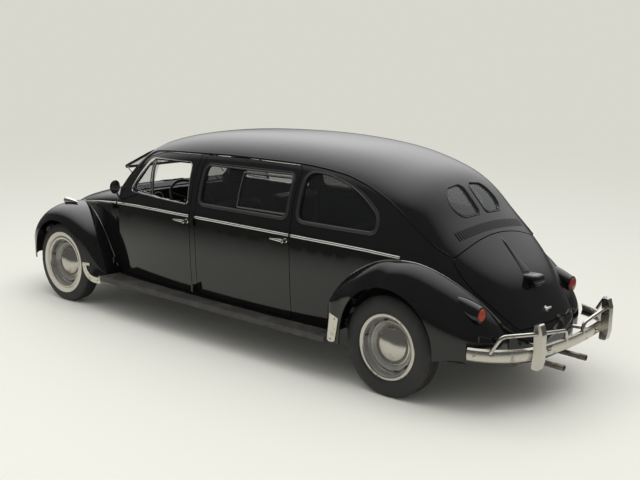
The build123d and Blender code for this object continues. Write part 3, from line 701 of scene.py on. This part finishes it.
for name, side in SIDES:
    bm = bmesh.new()
    (low_x0, low_x1), (top_x0, top_x1) = (374, 439), (350, 421)
    for vert in bmesh.ops.create_grid(bm, x_segments=10, y_segments=16, size=0.5)["verts"]:
        u, v = vert.co.x + 0.5, vert.co.y + 0.5
        tuck = 10 * (1 - v) ** 6
        x = (low_x0 + (low_x1 - low_x0) * u) * (1 - v) + (top_x0 + (top_x1 - top_x0) * u) * v
        z = 279 * (1 - v) + (440 + 24 * u) * v + tuck * (2 * u - 1) ** 2
        hit, normal = from_side(x, z, side, WINGS)
        vert.co = hit + normal * 0.002 if hit is not None else at(x, 768 * side, z)
    bmesh.ops.recalc_face_normals(bm, faces=bm.faces)
    bmesh.ops.solidify(bm, geom=bm.faces, thickness=0.0025)
    bend = ((2970, 368), (2967, 332), (2946, 296), (2905, 270), (2850, 257), (2764, 264))
    line = eased(spaced([at(x, 763 * side, z) for x, z in bend], 0.02), 4)
    run(bm, [(-22, -1), (-23, 1), (-21, 2.4), (21, 2.4), (23, 1), (22, -1)], line,
        [Vector((0, side, 0.1))] * len(line))
    flap = eased(spaced([at(2996, 759 * side, 366), at(2908, 757 * side, 371)], 0.01), 2)
    run(bm, [(-9, -1), (-10, 1), (-8, 2.6), (8, 2.6), (10, 1), (9, -1)], flap,
        [Vector((0, side, 0.2))] * len(flap))
    place_piece(bm, "stone_guards_" + name, guard_lacquer, "body")
    bm = bmesh.new()
    for x, z in ((378, 431), (407, 297), (2966, 345), (2800, 262)):
        hit, normal = from_side(x, z, side, WINGS)
        spot = hit if hit is not None else at(x, 763 * side, z)
        turned(bm, [(0, 8.5), (3.5, 8), (6, 6.4), (6.6, 4), (6.6, 1)], spot, (0, side, 0), 16)
    place_piece(bm, "guard_screws_" + name, dull_chrome, "body")


# Bumpers: bowed steel blades with overriders and round bows, chrome plated and gone dull, bolted
# to irons that pass through the body.
for node in ("front_bumper", "rear_bumper"):
    from_node(node, dull_chrome)
bm = bmesh.new()
REAR_BLADE, FRONT_BLADE, BLADE_Z = -887, WHEELBASE + 677, 404
for x, way in ((REAR_BLADE, -1), (FRONT_BLADE, 1)):
    for y in (300, -300):
        turned(bm, [(0, 9), (6, 8.4), (11, 5.6), (13, 2), (13.4, -4)], at(x, y, BLADE_Z), (way, 0, 0), 24)
place_piece(bm, "bumper_bolts", dull_chrome, "body")


# Tail lamps: pressed teardrop housings screwed to the rear wings and painted with them, each with
# an enamelled ring that holds a domed lens of red glass, darker in patches.
red_glass = surface("red_glass", (0.33, 0.050, 0.026), 0.10, grain=(420, 0.35, 0.5),
                    worn=((0.22, 0.026, 0.014), 9, 0.4, 0.7, 0.16))
from_node("tail_lamps", black_enamel)
for name, side in SIDES:
    centre = at(-565, 552 * side, 602)
    ring = [(39, 4), (43, 8), (49, 8.5), (52.5, 4), (53, -3), (50, -5)]
    dome = [(0, 22), (10, 21.6), (20, 20), (30, 16), (36, 11.5), (40, 6), (41, 2)]
    spun("tail_lamp_ring_" + name, [ring], centre, (-1, 0, 0), 64, black_enamel, "body")
    spun("tail_lamp_lens_" + name, [dome], centre, (-1, 0, 0), 64, red_glass, "body")


# Headlamps: sealed into the front wings behind a sloping cover glass. Steel bowl, silvered
# reflector, a smooth domed glass and a chromed ring.
lamp_glass = glazing("lamp_glass", (0.16, 0.17, 0.17), 0.75, 0.03)
silvering = surface("silvering", (0.85, 0.85, 0.83), 0.12, 1.0, worn=((0.7, 0.7, 0.66), 9, 0.4, 0.8, 0.2))
BOWL = [(60, -118), (84, -96), (91, -60), (93.5, -24), (94, -12)]
REFLECTOR = [(0, -70), (24, -66), (48, -52), (66, -32), (78, -12), (82, -5)]
LAMP_RING = [(80, -7), (81, 1), (84, 4.5), (89, 4), (93, 0), (96, -9), (96, -19), (93, -22)]
COVER = [(0, 7.5), (20, 7), (40, 5.6), (60, 3), (74, -0.5), (82, -4)]
slope = Vector((math.cos(math.radians(22)), 0, math.sin(math.radians(22))))
for name, side in SIDES:
    centre = at(3735, 560 * side, 580)
    for label, profile, look, slot, stands_for in (
            ("bowl", BOWL, black_enamel, "body_paint", ["headlamps"]),
            ("reflector", REFLECTOR, silvering, "bright_metal", ()),
            ("ring", LAMP_RING, chrome, "bright_metal", ()), ("glass", COVER, lamp_glass, "glass", ())):
        spun(f"headlamp_{label}_{name}", [profile], centre, slope, 72, look, "body", stands_for)


# Turn signals: die-cast torpedo lamps on the crown of each front wing, chrome plated, on a short
# foot. The lens is amber plastic and faces forwards.
amber = surface("amber_plastic", (0.46, 0.085, 0.030), 0.12, grain=(500, 0.3, 0.4),
                worn=((0.34, 0.05, 0.02), 12, 0.4, 0.7, 0.2))
TORPEDO = [(24, -16), (26, -15), (27.3, -17), (27.4, -22), (27, -38), (24.5, -66), (19, -100), (12, -136),
           (5, -162), (0, -167)]
AMBER_LENS = [(0, 8), (8, 7), (16, 3.4), (21, -2), (24, -9), (25.5, -17), (23, -20)]


def block(bm, size, centre, turn=None):
    """Adds a plain box, its sides in metres, turned about its middle where asked."""
    bmesh.ops.create_cube(bm, size=1, matrix=Matrix.LocRotScale(centre, turn, Vector(size)))


for name, side in SIDES:
    centre = at(3468, 570 * side, 800)
    bm = bmesh.new()
    turned(bm, TORPEDO, centre, (1, 0, 0), 40)
    block(bm, (0.062, 0.022, 0.060), at(3424, 570 * side, 770))
    broken(bm, 5, 60, 3)
    place_piece(bm, "turn_signal_shell_" + name, chrome, "body", ["turn_signals"], sharp=50)
    spun("turn_signal_lens_" + name, [AMBER_LENS], centre, (1, 0, 0), 40, amber, "body")


# Engine lid pressing: a raised rib in the lid's middle that widens down to the plate lamp's pod.
# Part of the lid's own pressing, in the same enamel, with the pod's dark glass slot under it.
LID = surface_tree(["engine_lid"])
bm = bmesh.new()
RIB_LOW, RIB_HEIGHT, RIB_TIP, RIB_FLARE = 768, 194, 8, 40
for vert in bmesh.ops.create_grid(bm, x_segments=12, y_segments=40, size=0.5)["verts"]:
    u, v = vert.co.x * 2, vert.co.y + 0.5
    y, z = u * (RIB_TIP + RIB_FLARE * (1 - v) ** 1.4), RIB_LOW + RIB_HEIGHT * v
    hit, normal = met(LID, Vector((REAR_X - 3, y / 1000, z / 1000)), (1, 0, 0))
    rise = 7 * (1 - abs(u) ** 3) * min(1, 6 * (1 - v)) - 0.5
    vert.co = hit + normal * rise / 1000 if hit is not None else Vector((9, 9, 9))
bmesh.ops.delete(bm, geom=[v for v in bm.verts if v.co.x > 8], context="VERTS")
bmesh.ops.recalc_face_normals(bm, faces=bm.faces)
smooth(bm, 60)
for face in bm.faces:
    if face.normal.x > 0:
        face.normal_flip()
place_piece(bm, "lid_pressing", black_enamel, "rear_lid", sharp=None)
bm = bmesh.new()
block(bm, (0.05, 0.07, 0.010), at(-600, 0, 697))
broken(bm, 3, 60)
place_piece(bm, "plate_lamp_glass", lamp_glass, "rear_lid")


# Lid handle: a small chromed twist grip below the pod on a round rose, which turns the catch.
hit, normal = met(LID, Vector((REAR_X - 3, 0, 0.56)), (1, 0, 0))
bm = bmesh.new()
turned(bm, [(0, 6), (14, 5.4), (19, 3), (20, -3)], hit, normal, 32)
block(bm, (0.016, 0.072, 0.014), hit + normal * 0.014)
broken(bm, 5, 60, 3)
place_piece(bm, "lid_handle", chrome, "rear_lid", sharp=50)


# Door handles: die-cast zinc pulls, chrome plated, on a turned boss with the lock in its end. The
# grip tapers to a point towards the door's hinge, and a black keyhole sits in the boss.
HANDLE_Y, HANDLE_Z = 717, 855
for end, x in (("front", 1821), ("rear", 853)):
    for name, side in SIDES:
        body = f"{name}_{end}_door"
        base, _ = from_side(x + 18, HANDLE_Z, side)
        stand = HANDLE_Y - abs(base.y) * 1000
        bm = bmesh.new()
        turned(bm, [(17, -4), (17, 3), (13, 6), (11.5, stand)], base, (0, side, 0), 32)
        turned(bm, [(0, stand - 4), (12, stand - 4), (13.5, stand - 2), (13.5, stand + 7), (9.5, stand + 9),
                    (9, stand + 7.5), (0, stand + 7.5)], base, (0, side, 0), 32)
        grip = bmesh.ops.create_cone(bm, cap_ends=True, segments=20, radius1=0.0115, radius2=0.0042,
                                     depth=0.116)["verts"]
        bmesh.ops.scale(bm, vec=(1, 0.62, 1), verts=grip)
        bmesh.ops.rotate(bm, cent=(0, 0, 0), matrix=Matrix.Rotation(math.radians(90), 3, "Y"), verts=grip)
        bmesh.ops.translate(bm, vec=at(x + 76, 718 * side, 855.5), verts=grip)
        broken(bm, 2.2, 40, 3)
        stands_for = [f"{end}_door_handle_{name}"]
        place_piece(bm, f"{end}_handle_{name}", chrome, body, stands_for, 50)
        bm = bmesh.new()
        block(bm, (0.0075, 0.002, 0.012), at(x + 18, (HANDLE_Y + 8) * side, HANDLE_Z))
        broken(bm, 0.9, 60)
        place_piece(bm, f"{end}_keyhole_{name}", seal_rubber, body)


# Driving mirror: a round glass in a spun steel shell, enamelled, on a bent rod that is screwed to
# the front edge of the driver's door.
head_at, head_way = at(2577, 754, 1026), Vector((22, 4, 0)).normalized()
bm = bmesh.new()
turned(bm, [(0, 14), (22, 13), (40, 8.5), (50, 1), (52, -7), (51, -10), (48, -10.6), (46, -9)], head_at,
       head_way, 48)
bar(bm, eased(spaced([at(2692, 596, 880), at(2666, 630, 910), at(2622, 694, 962), at(2596, 738, 1008),
                      at(2588, 752, 1022)], 0.012), 4), 6)
place_piece(bm, "mirror_head", black_enamel, "left_front_door", ["mirror"], sharp=50)
spun("mirror_glass", [[(0, -9.2), (25, -8.9), (46.5, -8.2)]], head_at, head_way, 48, silvering,
     "left_front_door")


# Windscreen: a flat frame of painted steel tube, hung from two hinges over the glass and held open
# by a slotted stay on each side.
frame_paint = surface("frame_paint", (0.008, 0.008, 0.008), 0.16, grain=(60, 0.04, 0.3))
from_node("windscreen_frame", frame_paint)
frame_low, frame_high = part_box("windscreen_frame")
for name, side in SIDES:
    bm = bmesh.new()
    foot = at(2668, 458 * side, 1040)
    tip = Vector((frame_high.x - 0.030, 0.462 * side, frame_low.z + 0.016))
    run(bm, [(-5, -1), (-5, 1), (5, 1), (5, -1)], [foot, foot.lerp(tip, 0.5), tip],
        [Vector((0, side, 0))] * 3)
    for spot in (foot, tip):
        turned(bm, [(0, 5), (5, 4.6), (7.5, 2), (7.5, -5), (0, -5)], spot, (0, -side, 0), 20)
    place_piece(bm, "windscreen_stay_" + name, chrome, "body")


# Wipers: two plated steel arms on splined spindles in the cowl, each with a thin rubber blade in a
# folded holder, parked along the foot of the windscreen.
bm_arm, bm_blade = bmesh.new(), bmesh.new()
for y in (255, -185):
    hit, _ = met(HULL, at(2742, y, 1600), (0, 0, -1))
    turned(bm_arm, [(0, 16), (6, 15.4), (8, 12), (8, 4), (12, 3), (13, -3)], hit, (0, 0, 1), 20)
    end = met(HULL, at(2726, y - 215, 1600), (0, 0, -1))[0] + Vector((0, 0, 0.014))
    bar(bm_arm, [hit + Vector((0, 0, 0.012)), hit.lerp(end, 0.5) + Vector((0, 0, 0.012)), end], 2.6)
    tips = [end + Vector((0.000, 0.105, -0.003)), end + Vector((0, -0.105, -0.003))]
    run(bm_blade, [(-2.2, -1), (-2.2, 5), (2.2, 5), (2.2, -1), (0.4, -8), (-0.4, -8)], tips,
        [Vector((0, 0, 1))] * 2)
place_piece(bm_arm, "wiper_arms", chrome, "body")
place_piece(bm_blade, "wiper_blades", seal_rubber, "body")


# Tyres: cross-ply casings with four straight ribs and staggered grooves, on 15 inch rims. The front
# pair has a cream band vulcanised on beside the rim; the rear pair is plain.
tread_rubber = surface("tread_rubber", (0.017, 0.017, 0.0165), 0.62, grain=(260, 0.35, 0.6),
                       worn=((0.040, 0.036, 0.031), 7, 0.48, 0.8, 0.8))
cream_rubber = surface("cream_rubber", (0.60, 0.575, 0.49), 0.5, grain=(240, 0.15, 0.4),
                       worn=((0.50, 0.46, 0.37), 9, 0.5, 0.78, 0.62))
TREAD = [(190, 46), (196, 50), (206, 53), (214, 60), (220, 66.5), (226, 69.5), (232, 70), (250, 72),
         (264, 72), (280, 70.2), (292, 67.2), (302, 62.8), (308, 60), (310, 58.6), (311, 56.2), (315, 54.2),
         (318.2, 51.2), (319, 47), (319.3, 43.4), (315.2, 42.4), (315.2, 38.4), (319.5, 37.4), (319.8, 26),
         (315.6, 25), (315.6, 21), (319.9, 20), (320, 8.4), (315.8, 7.4), (315.8, 3.4), (320, 2.4)]
BAND = [(213, 57), (214, 61), (219, 67), (224, 70.6), (230, 71.4), (240, 72.4), (247, 72.8), (251, 71)]
TREAD_STEPS, GROOVE_FLOOR, WAVE, NOTCH = 150, 315, 0.0016, 0.0016
WHEELS = [(end, name, side, at(x, y * side, AXLE_Z * 1000), Vector((0, side, 0)), f"{name}_{end}_wheel")
          for end, x, y in (("front", WHEELBASE, 652), ("rear", 0, 644)) for name, side in SIDES]
for end, name, side, centre, out, body in WHEELS:
    bm = bmesh.new()
    turned(bm, TREAD + [(r, -w) for r, w in reversed(TREAD)], centre, out, TREAD_STEPS)
    for vert in bm.verts:
        arm = (vert.co - centre) * 1000
        radius = math.hypot(arm.x, arm.z)
        step = round(math.atan2(arm.z, arm.x) / (2 * math.pi) * TREAD_STEPS)
        if radius > GROOVE_FLOOR and abs(arm.y) < 46:
            vert.co.y += WAVE if step % 2 else -WAVE
        elif step % 5 == 0 and 303 < radius < GROOVE_FLOOR:
            vert.co -= Vector((arm.x, 0, arm.z)).normalized() * NOTCH
    place_piece(bm, f"{end}_tyre_tread_{name}", tread_rubber, body, [f"{end}_tyre_{name}"], 28)
    if end == "front":
        spun("front_whitewall_" + name, [BAND], centre, out, 128, cream_rubber, body, sharp=50)


# Wheels: discs pressed with twelve slots and a raised ring, riveted into rolled rims, in grey
# enamel. Behind each disc is the iron brake drum; a rubber valve comes through the well.
wheel_enamel = surface("wheel_enamel", (0.30, 0.295, 0.275), 0.3, 0.35, grain=(160, 0.1, 0.3),
                       worn=((0.13, 0.115, 0.095), 13, 0.52, 0.78, 0.55))
drum_iron = surface("drum_iron", (0.05, 0.045, 0.04), 0.7, 0.6, grain=(140, 0.5, 0.6))
DISC = [(122, -2), (128, -4), (134, -1), (142, 9), (148, 15), (153, 16.5), (157, 15), (174, 2.5), (178, 0),
        (181, 6), (182.5, 24), (183, 48)]
RIM = [(183, 50), (186, 56), (196, 59), (206, 60), (208.5, 57), (207, 54), (203, 53), (191, 52.5),
       (189.5, 26), (166, 4), (158, -4), (156, -38), (160, -40), (187, -40), (191, -44), (191, -52.5),
       (206, -53.5), (208, -57), (206, -60), (184, -59), (180, -46), (150, -42), (148, -12), (150, -8),
       (178, -3), (184, 10), (185, 50)]
DRUM = [(0, -44), (116, -44), (120, -40), (122, -30), (122, -12), (118, -8), (0, -8)]
for end, name, side, centre, out, body in WHEELS:
    bm = bmesh.new()
    turned(bm, DISC, centre, out, 144)
    holes = []
    for face in bm.faces:
        arm = (face.calc_center_median() - centre) * 1000
        angle = math.degrees(math.atan2(arm.z, arm.x)) % 30
        if 157 < math.hypot(arm.x, arm.z) < 174 and 8 < angle < 20:
            holes.append(face)
    bmesh.ops.delete(bm, geom=holes, context="FACES")
    bmesh.ops.recalc_face_normals(bm, faces=bm.faces)
    bmesh.ops.solidify(bm, geom=bm.faces, thickness=0.002)
    turned(bm, RIM, centre, out, 120)
    stands_for = [f"{end}_wheel_{name}"]
    place_piece(bm, f"{end}_wheel_disc_{name}", wheel_enamel, body, stands_for, 45)
    spun(f"{end}_brake_drum_{name}", [DRUM], centre, out, 64, drum_iron, body, sharp=45)
    bm = bmesh.new()
    stem = [centre + Vector((0.166, side * 0.024, 0.04)), centre + Vector((0.167, side * 0.062, 0.041))]
    bar(bm, stem, 3.4, steps=10)
    place_piece(bm, f"{end}_valve_{name}", seal_rubber, body)


# Hub caps and trim rings: spun from thin steel and chrome plated, snapped on. The ring covers the
# rim's edge, and the cap is a plain dome with a flat middle.
TRIM_RING = [(186, 50), (187, 58), (189, 60.5), (192, 61.8), (200, 63.4), (207, 63.6), (211, 62.6), (213, 60),
             (213, 57.5), (211, 57), (204, 58.4)]
CAP = [(0, 49), (18, 48.8), (34, 47.6), (50, 44.8), (66, 40.4), (82, 34.4), (96, 27), (106, 20), (114, 12.6),
       (119.5, 5), (122, 1.4), (127.5, 0.8), (130, -1.2), (130, -4)]
for end, name, side, centre, out, body in WHEELS:
    spun(f"{end}_hub_cap_{name}", [TRIM_RING, CAP], centre, out, 96, dull_chrome, body,
         sharp=40)


# Carpets: looped wool mats, bound at the edges and laid loose on the floor on both sides of the
# tunnel, with a longer run of carpet over the tunnel itself.
loop_pile = surface("loop_pile", (0.030, 0.026, 0.022), 0.95, grain=(700, 1.0, 1.5),
                    worn=((0.052, 0.046, 0.038), 5, 0.45, 0.8, 0.97))
bm = bmesh.new()
FLOOR_TOP, TUNNEL_TOP, PILE = 246, 336, 0.010
for x0, x1, y0, y1, z in (
        (1180, 1830, 90, 560, FLOOR_TOP), (1180, 1830, -560, -90, FLOOR_TOP),
        (2300, 2640, 90, 545, FLOOR_TOP), (2300, 2640, -545, -90, FLOOR_TOP),
        (1110, 2640, -76, 76, TUNNEL_TOP)):
    block(bm, ((x1 - x0) / 1000, (y1 - y0) / 1000, PILE), at((x0 + x1) / 2, (y0 + y1) / 2, z))
broken(bm, 4, 60, 3)
place_piece(bm, "carpets", loop_pile, "body", sharp=60)


# Seats: sprung cushions and backs in pleated brown leathercloth on low steel boxes. The front ones
# stand on runners; the rear one is a full-width bench.
piping = surface("piping_rubber", (0.016, 0.016, 0.016), 0.42, grain=(300, 0.2, 0.3))
leathercloth = surface("leathercloth", (0.066, 0.050, 0.038), 0.4, grain=(430, 0.45, 0.5),
                       worn=((0.040, 0.030, 0.023), 7, 0.45, 0.72, 0.55))


def cushion(name, size, place, pleats, node, crown):
    """A crowned pad of (length, width, depth) millimetres whose top is sewn in pleats; place puts
    its own frame, with the sewn side up, into the car's."""
    half = Vector(size) / 2
    edge = 42
    bm = bmesh.new()
    bmesh.ops.create_cube(bm, size=2)
    bmesh.ops.subdivide_edges(bm, edges=bm.edges, cuts=30, use_grid_fill=True)
    bmesh.ops.scale(bm, vec=half, verts=bm.verts)
    for vert in bm.verts:
        core = Vector([max(edge - h, min(h - edge, c)) for c, h in zip(vert.co, half)])
        arm = vert.co - core
        vert.co = core + (arm.normalized() * edge if arm.length > 0 else arm)
        u, v = vert.co.x / half.x, vert.co.y / half.y
        inside = max(0.0, 1 - abs(u) ** 5) * max(0.0, 1 - abs(v) ** 5)
        if vert.co.z > half.z * 0.5:
            groove = abs(math.sin(math.pi * pleats * (v + 1) / 2)) ** 0.45
            vert.co.z += (9 * (groove - 1) + crown) * inside - 8 * (u * u + v * v) * (1 - inside)
    bmesh.ops.transform(bm, matrix=place @ Matrix.Scale(0.001, 4), verts=bm.verts)
    piece = place_piece(bm, name, leathercloth, "body", [node], sharp=70)
    rounder = piece.modifiers.new("rounder", "SUBSURF")
    rounder.levels = rounder.render_levels = 1
    bm = bmesh.new()
    line = []
    for sx, sy in ((1, -1), (1, 1), (-1, 1), (-1, -1)):
        near = [(half.x - a, half.y - b) for a, b in ((40, 12), (12, 40))]
        corner = [Vector((sx * x, sy * y, half.z - 16)) for x, y in near]
        line += corner if sx * sy < 0 else corner[::-1]
    line = line[1:] + line[:1]
    welt = [place @ (p / 1000) for p in eased(spaced(line, 14, True), 4, True)]
    bar(bm, welt, 4.5, closed=True, steps=8)
    place_piece(bm, name + "_welt", piping, "body")


for name, x, y, width, pleats in (("driver", 1860, 320, 480, 7), ("passenger", 1860, -320, 480, 7),
                                  ("rear", 620, 0, 1120, 16)):
    node = "rear_seat" if name == "rear" else "front_seats"
    seat_at = Matrix.Translation(at(x + 240, y, 488))
    back_at = (Matrix.Translation(at(x - 20, y, 430)) @ Matrix.Rotation(math.radians(-14), 4, "Y")
               @ Matrix.Translation((0, 0, 0.28)) @ Matrix.Rotation(math.radians(90), 4, "Y"))
    cushion(name + "_seat_cushion", (470, width - 8, 132), seat_at, pleats, node, 6)
    cushion(name + "_seat_back", (552, width - 8, 130), back_at, pleats, node, 5)
    bm = bmesh.new()
    for x0, x1, y0, y1, z0, z1 in ((30, 430, -width / 2 + 34, width / 2 - 34, 262, 424),
                                   (10, 440, -width / 2 + 50, -width / 2 + 78, 241, 262),
                                   (10, 440, width / 2 - 78, width / 2 - 50, 241, 262)):
        block(bm, Vector((x1 - x0, y1 - y0, z1 - z0)) / 1000,
              at(x + (x0 + x1) / 2, y + (y0 + y1) / 2, (z0 + z1) / 2))
    broken(bm, 6, 60, 3)
    place_piece(bm, name + "_seat_base", chassis_black, "body", sharp=50)


# Dashboard: a painted steel panel with one round instrument ahead of the driver, an ivory plastic
# rim round it, a lidded box on the other side and a row of small knobs between.
dash_enamel = surface("dash_enamel", (0.022, 0.021, 0.020), 0.16, grain=(60, 0.03, 0.3))
from_node("dashboard", dash_enamel)
dial_face = surface("dial_face", (0.03, 0.03, 0.03), 0.5, worn=((0.05, 0.05, 0.048), 60, 0.4, 0.8, 0.6))
ivory = surface("ivory_plastic", (0.50, 0.45, 0.33), 0.25, worn=((0.42, 0.36, 0.25), 20, 0.5, 0.8, 0.4))
DASH_FACE = 2580
dial_at = at(DASH_FACE, 330, 886)
KNOB = [(0, 22), (6, 21), (8, 17), (7, 12), (3.5, 9), (3.5, -2)]
bm = bmesh.new()
turned(bm, [(50, -2), (52, 4), (56, 6), (60, 4), (61, -2)], dial_at, (-1, 0, 0), 48)
for y in (-60, 0, 60, 120):
    turned(bm, KNOB, at(DASH_FACE, y, 850), (-1, 0, 0), 20)
place_piece(bm, "dial_rim_and_knobs", ivory, "body", sharp=50)
bm = bmesh.new()
turned(bm, [(0, 2), (51, 2), (52, -1)], dial_at, (-1, 0, 0), 48)
for k in range(11):
    turn = Matrix.Rotation(math.radians(-120 + 24 * k), 3, "X")
    block(bm, (0.001, 0.002, 0.009), dial_at + Vector((-0.0026, 0, 0)) + turn @ Vector((0, 0, 0.042)), turn)
place_piece(bm, "dial", dial_face, "body", sharp=50)
bm = bmesh.new()
block(bm, (0.006, 0.30, 0.105), at(DASH_FACE - 3, -300, 880))
turned(bm, [(0, 16), (7, 15), (9, 11), (4, 6), (4, 2)], at(DASH_FACE - 4, -180, 880), (-1, 0, 0), 20)
broken(bm, 2, 60)
place_piece(bm, "box_lid", dash_enamel, "body", sharp=50)


# Steering wheel: hard rubber moulded over a steel ring, three pairs of wire spokes and a turned
# hub with a plated horn button. It turns on the column's joint.
RING_RADIUS, RING_GRIP, SPOKE_GAP = 0.192, 10.4, 7
bakelite = surface("bakelite", (0.016, 0.014, 0.013), 0.14, worn=((0.026, 0.023, 0.02), 9, 0.45, 0.8, 0.24))
wheel_axis = Vector(JOINTS["hand_wheel_turn"]["axis"]).normalized()
wheel_at = Vector(JOINTS["hand_wheel_turn"]["pos_m"]) + wheel_axis * 0.024
across = Vector((0, 1, 0))
up = wheel_axis.cross(across).normalized()
bm = bmesh.new()
bar(bm, [wheel_at + (across * math.cos(k * math.pi / 36) + up * math.sin(k * math.pi / 36)) * RING_RADIUS
         for k in range(72)], RING_GRIP, closed=True, steps=16)
for degrees in (90, 210, 330):
    arm = across * math.cos(math.radians(degrees)) + up * math.sin(math.radians(degrees))
    for gap in (-SPOKE_GAP, SPOKE_GAP):
        wire = [wheel_at + arm * r / 1000 + wheel_axis.cross(arm) * gap / 1000
                + wheel_axis * 0.004 * math.cos(math.pi * r / 380) for r in range(26, 190, 12)]
        bar(bm, wire, 3.6, steps=10)
turned(bm, [(0, 17), (20, 16), (28, 13), (33, 8), (34, 3), (34, -15), (32, -17), (0, -17)], wheel_at,
       wheel_axis, 48)
place_piece(bm, "steering_wheel_skin", bakelite, "hand_wheel", ["steering_wheel"], sharp=50)
spun("horn_button", [[(0, 21), (8, 20.6), (14, 19), (17, 16.5), (17.5, 14)]], wheel_at, wheel_axis, 32,
     chrome, "hand_wheel")


# Levers and pedals: bent steel rods with rubber or ivory ends, through the tunnel and the floor.
bm = bmesh.new()
bar(bm, eased(spaced([at(2330, 0, 330), at(2320, 0, 420), at(2270, 0, 560), at(2262, 4, 600)], 0.02), 4), 6)
bar(bm, [at(2150, 30, 332), at(2140, 32, 350), at(2010, 40, 440)], 9)
for y in (230, 300, 380):
    bar(bm, [at(2590, y, 250), at(2560, y, 330), at(2548, y, 372)], 6)
place_piece(bm, "levers", chrome, "body", sharp=50)
bm = bmesh.new()
ball = bmesh.ops.create_uvsphere(bm, u_segments=20, v_segments=12, radius=0.019)["verts"]
bmesh.ops.translate(bm, vec=at(2262, 4, 606), verts=ball)
place_piece(bm, "gear_knob", ivory, "body", sharp=60)
bm = bmesh.new()
for y, wide in ((230, 50), (300, 50), (380, 66)):
    block(bm, (0.012, wide / 1000, 0.060), at(2542, y, 378), Matrix.Rotation(math.radians(-18), 3, "Y"))
broken(bm, 3, 60)
place_piece(bm, "pedal_pads", seal_rubber, "body", sharp=60)


# Cabin fittings: a cranked winder on each door card, and a small inner mirror on a stalk over the
# windscreen. They are chrome plated, and screwed to the door frames and the roof.
for end, x in (("front", 2052), ("rear", 1129)):
    for name, side in SIDES:
        body = f"{name}_{end}_door"
        card = surface_tree([f"{end}_door_{name}"])
        base, tip = (met(card, at(x + reach, 300 * side, 780), (0, side, 0))[0] for reach in (0, 70))
        tip = tip + Vector((0, -0.022 * side, 0.02))
        bm = bmesh.new()
        turned(bm, [(0, 14), (14, 13), (20, 8), (22, -2)], base, (0, -side, 0), 24)
        bar(bm, [base + Vector((0, -0.010 * side, 0)), base.lerp(tip, 0.5) + Vector((0, -0.006 * side, 0)),
                 tip], 4)
        turned(bm, [(0, 24), (7, 23), (9, 16), (7, 2), (5, 0)], tip, (0, -side, 0), 20)
        place_piece(bm, f"{end}_winder_{name}", chrome, body, sharp=50)
hit = met(HULL, at(2330, 0, 1150), (0, 0, 1))[0]
bm = bmesh.new()
bar(bm, [hit + Vector((0, 0, 0.004)), hit + Vector((0, 0, -0.05)), hit + Vector((0.012, 0, -0.075))], 4)
block(bm, (0.014, 0.17, 0.052), hit + Vector((0.016, 0, -0.082)))
broken(bm, 5, 60, 3)
place_piece(bm, "inner_mirror", chrome, "body", sharp=50)
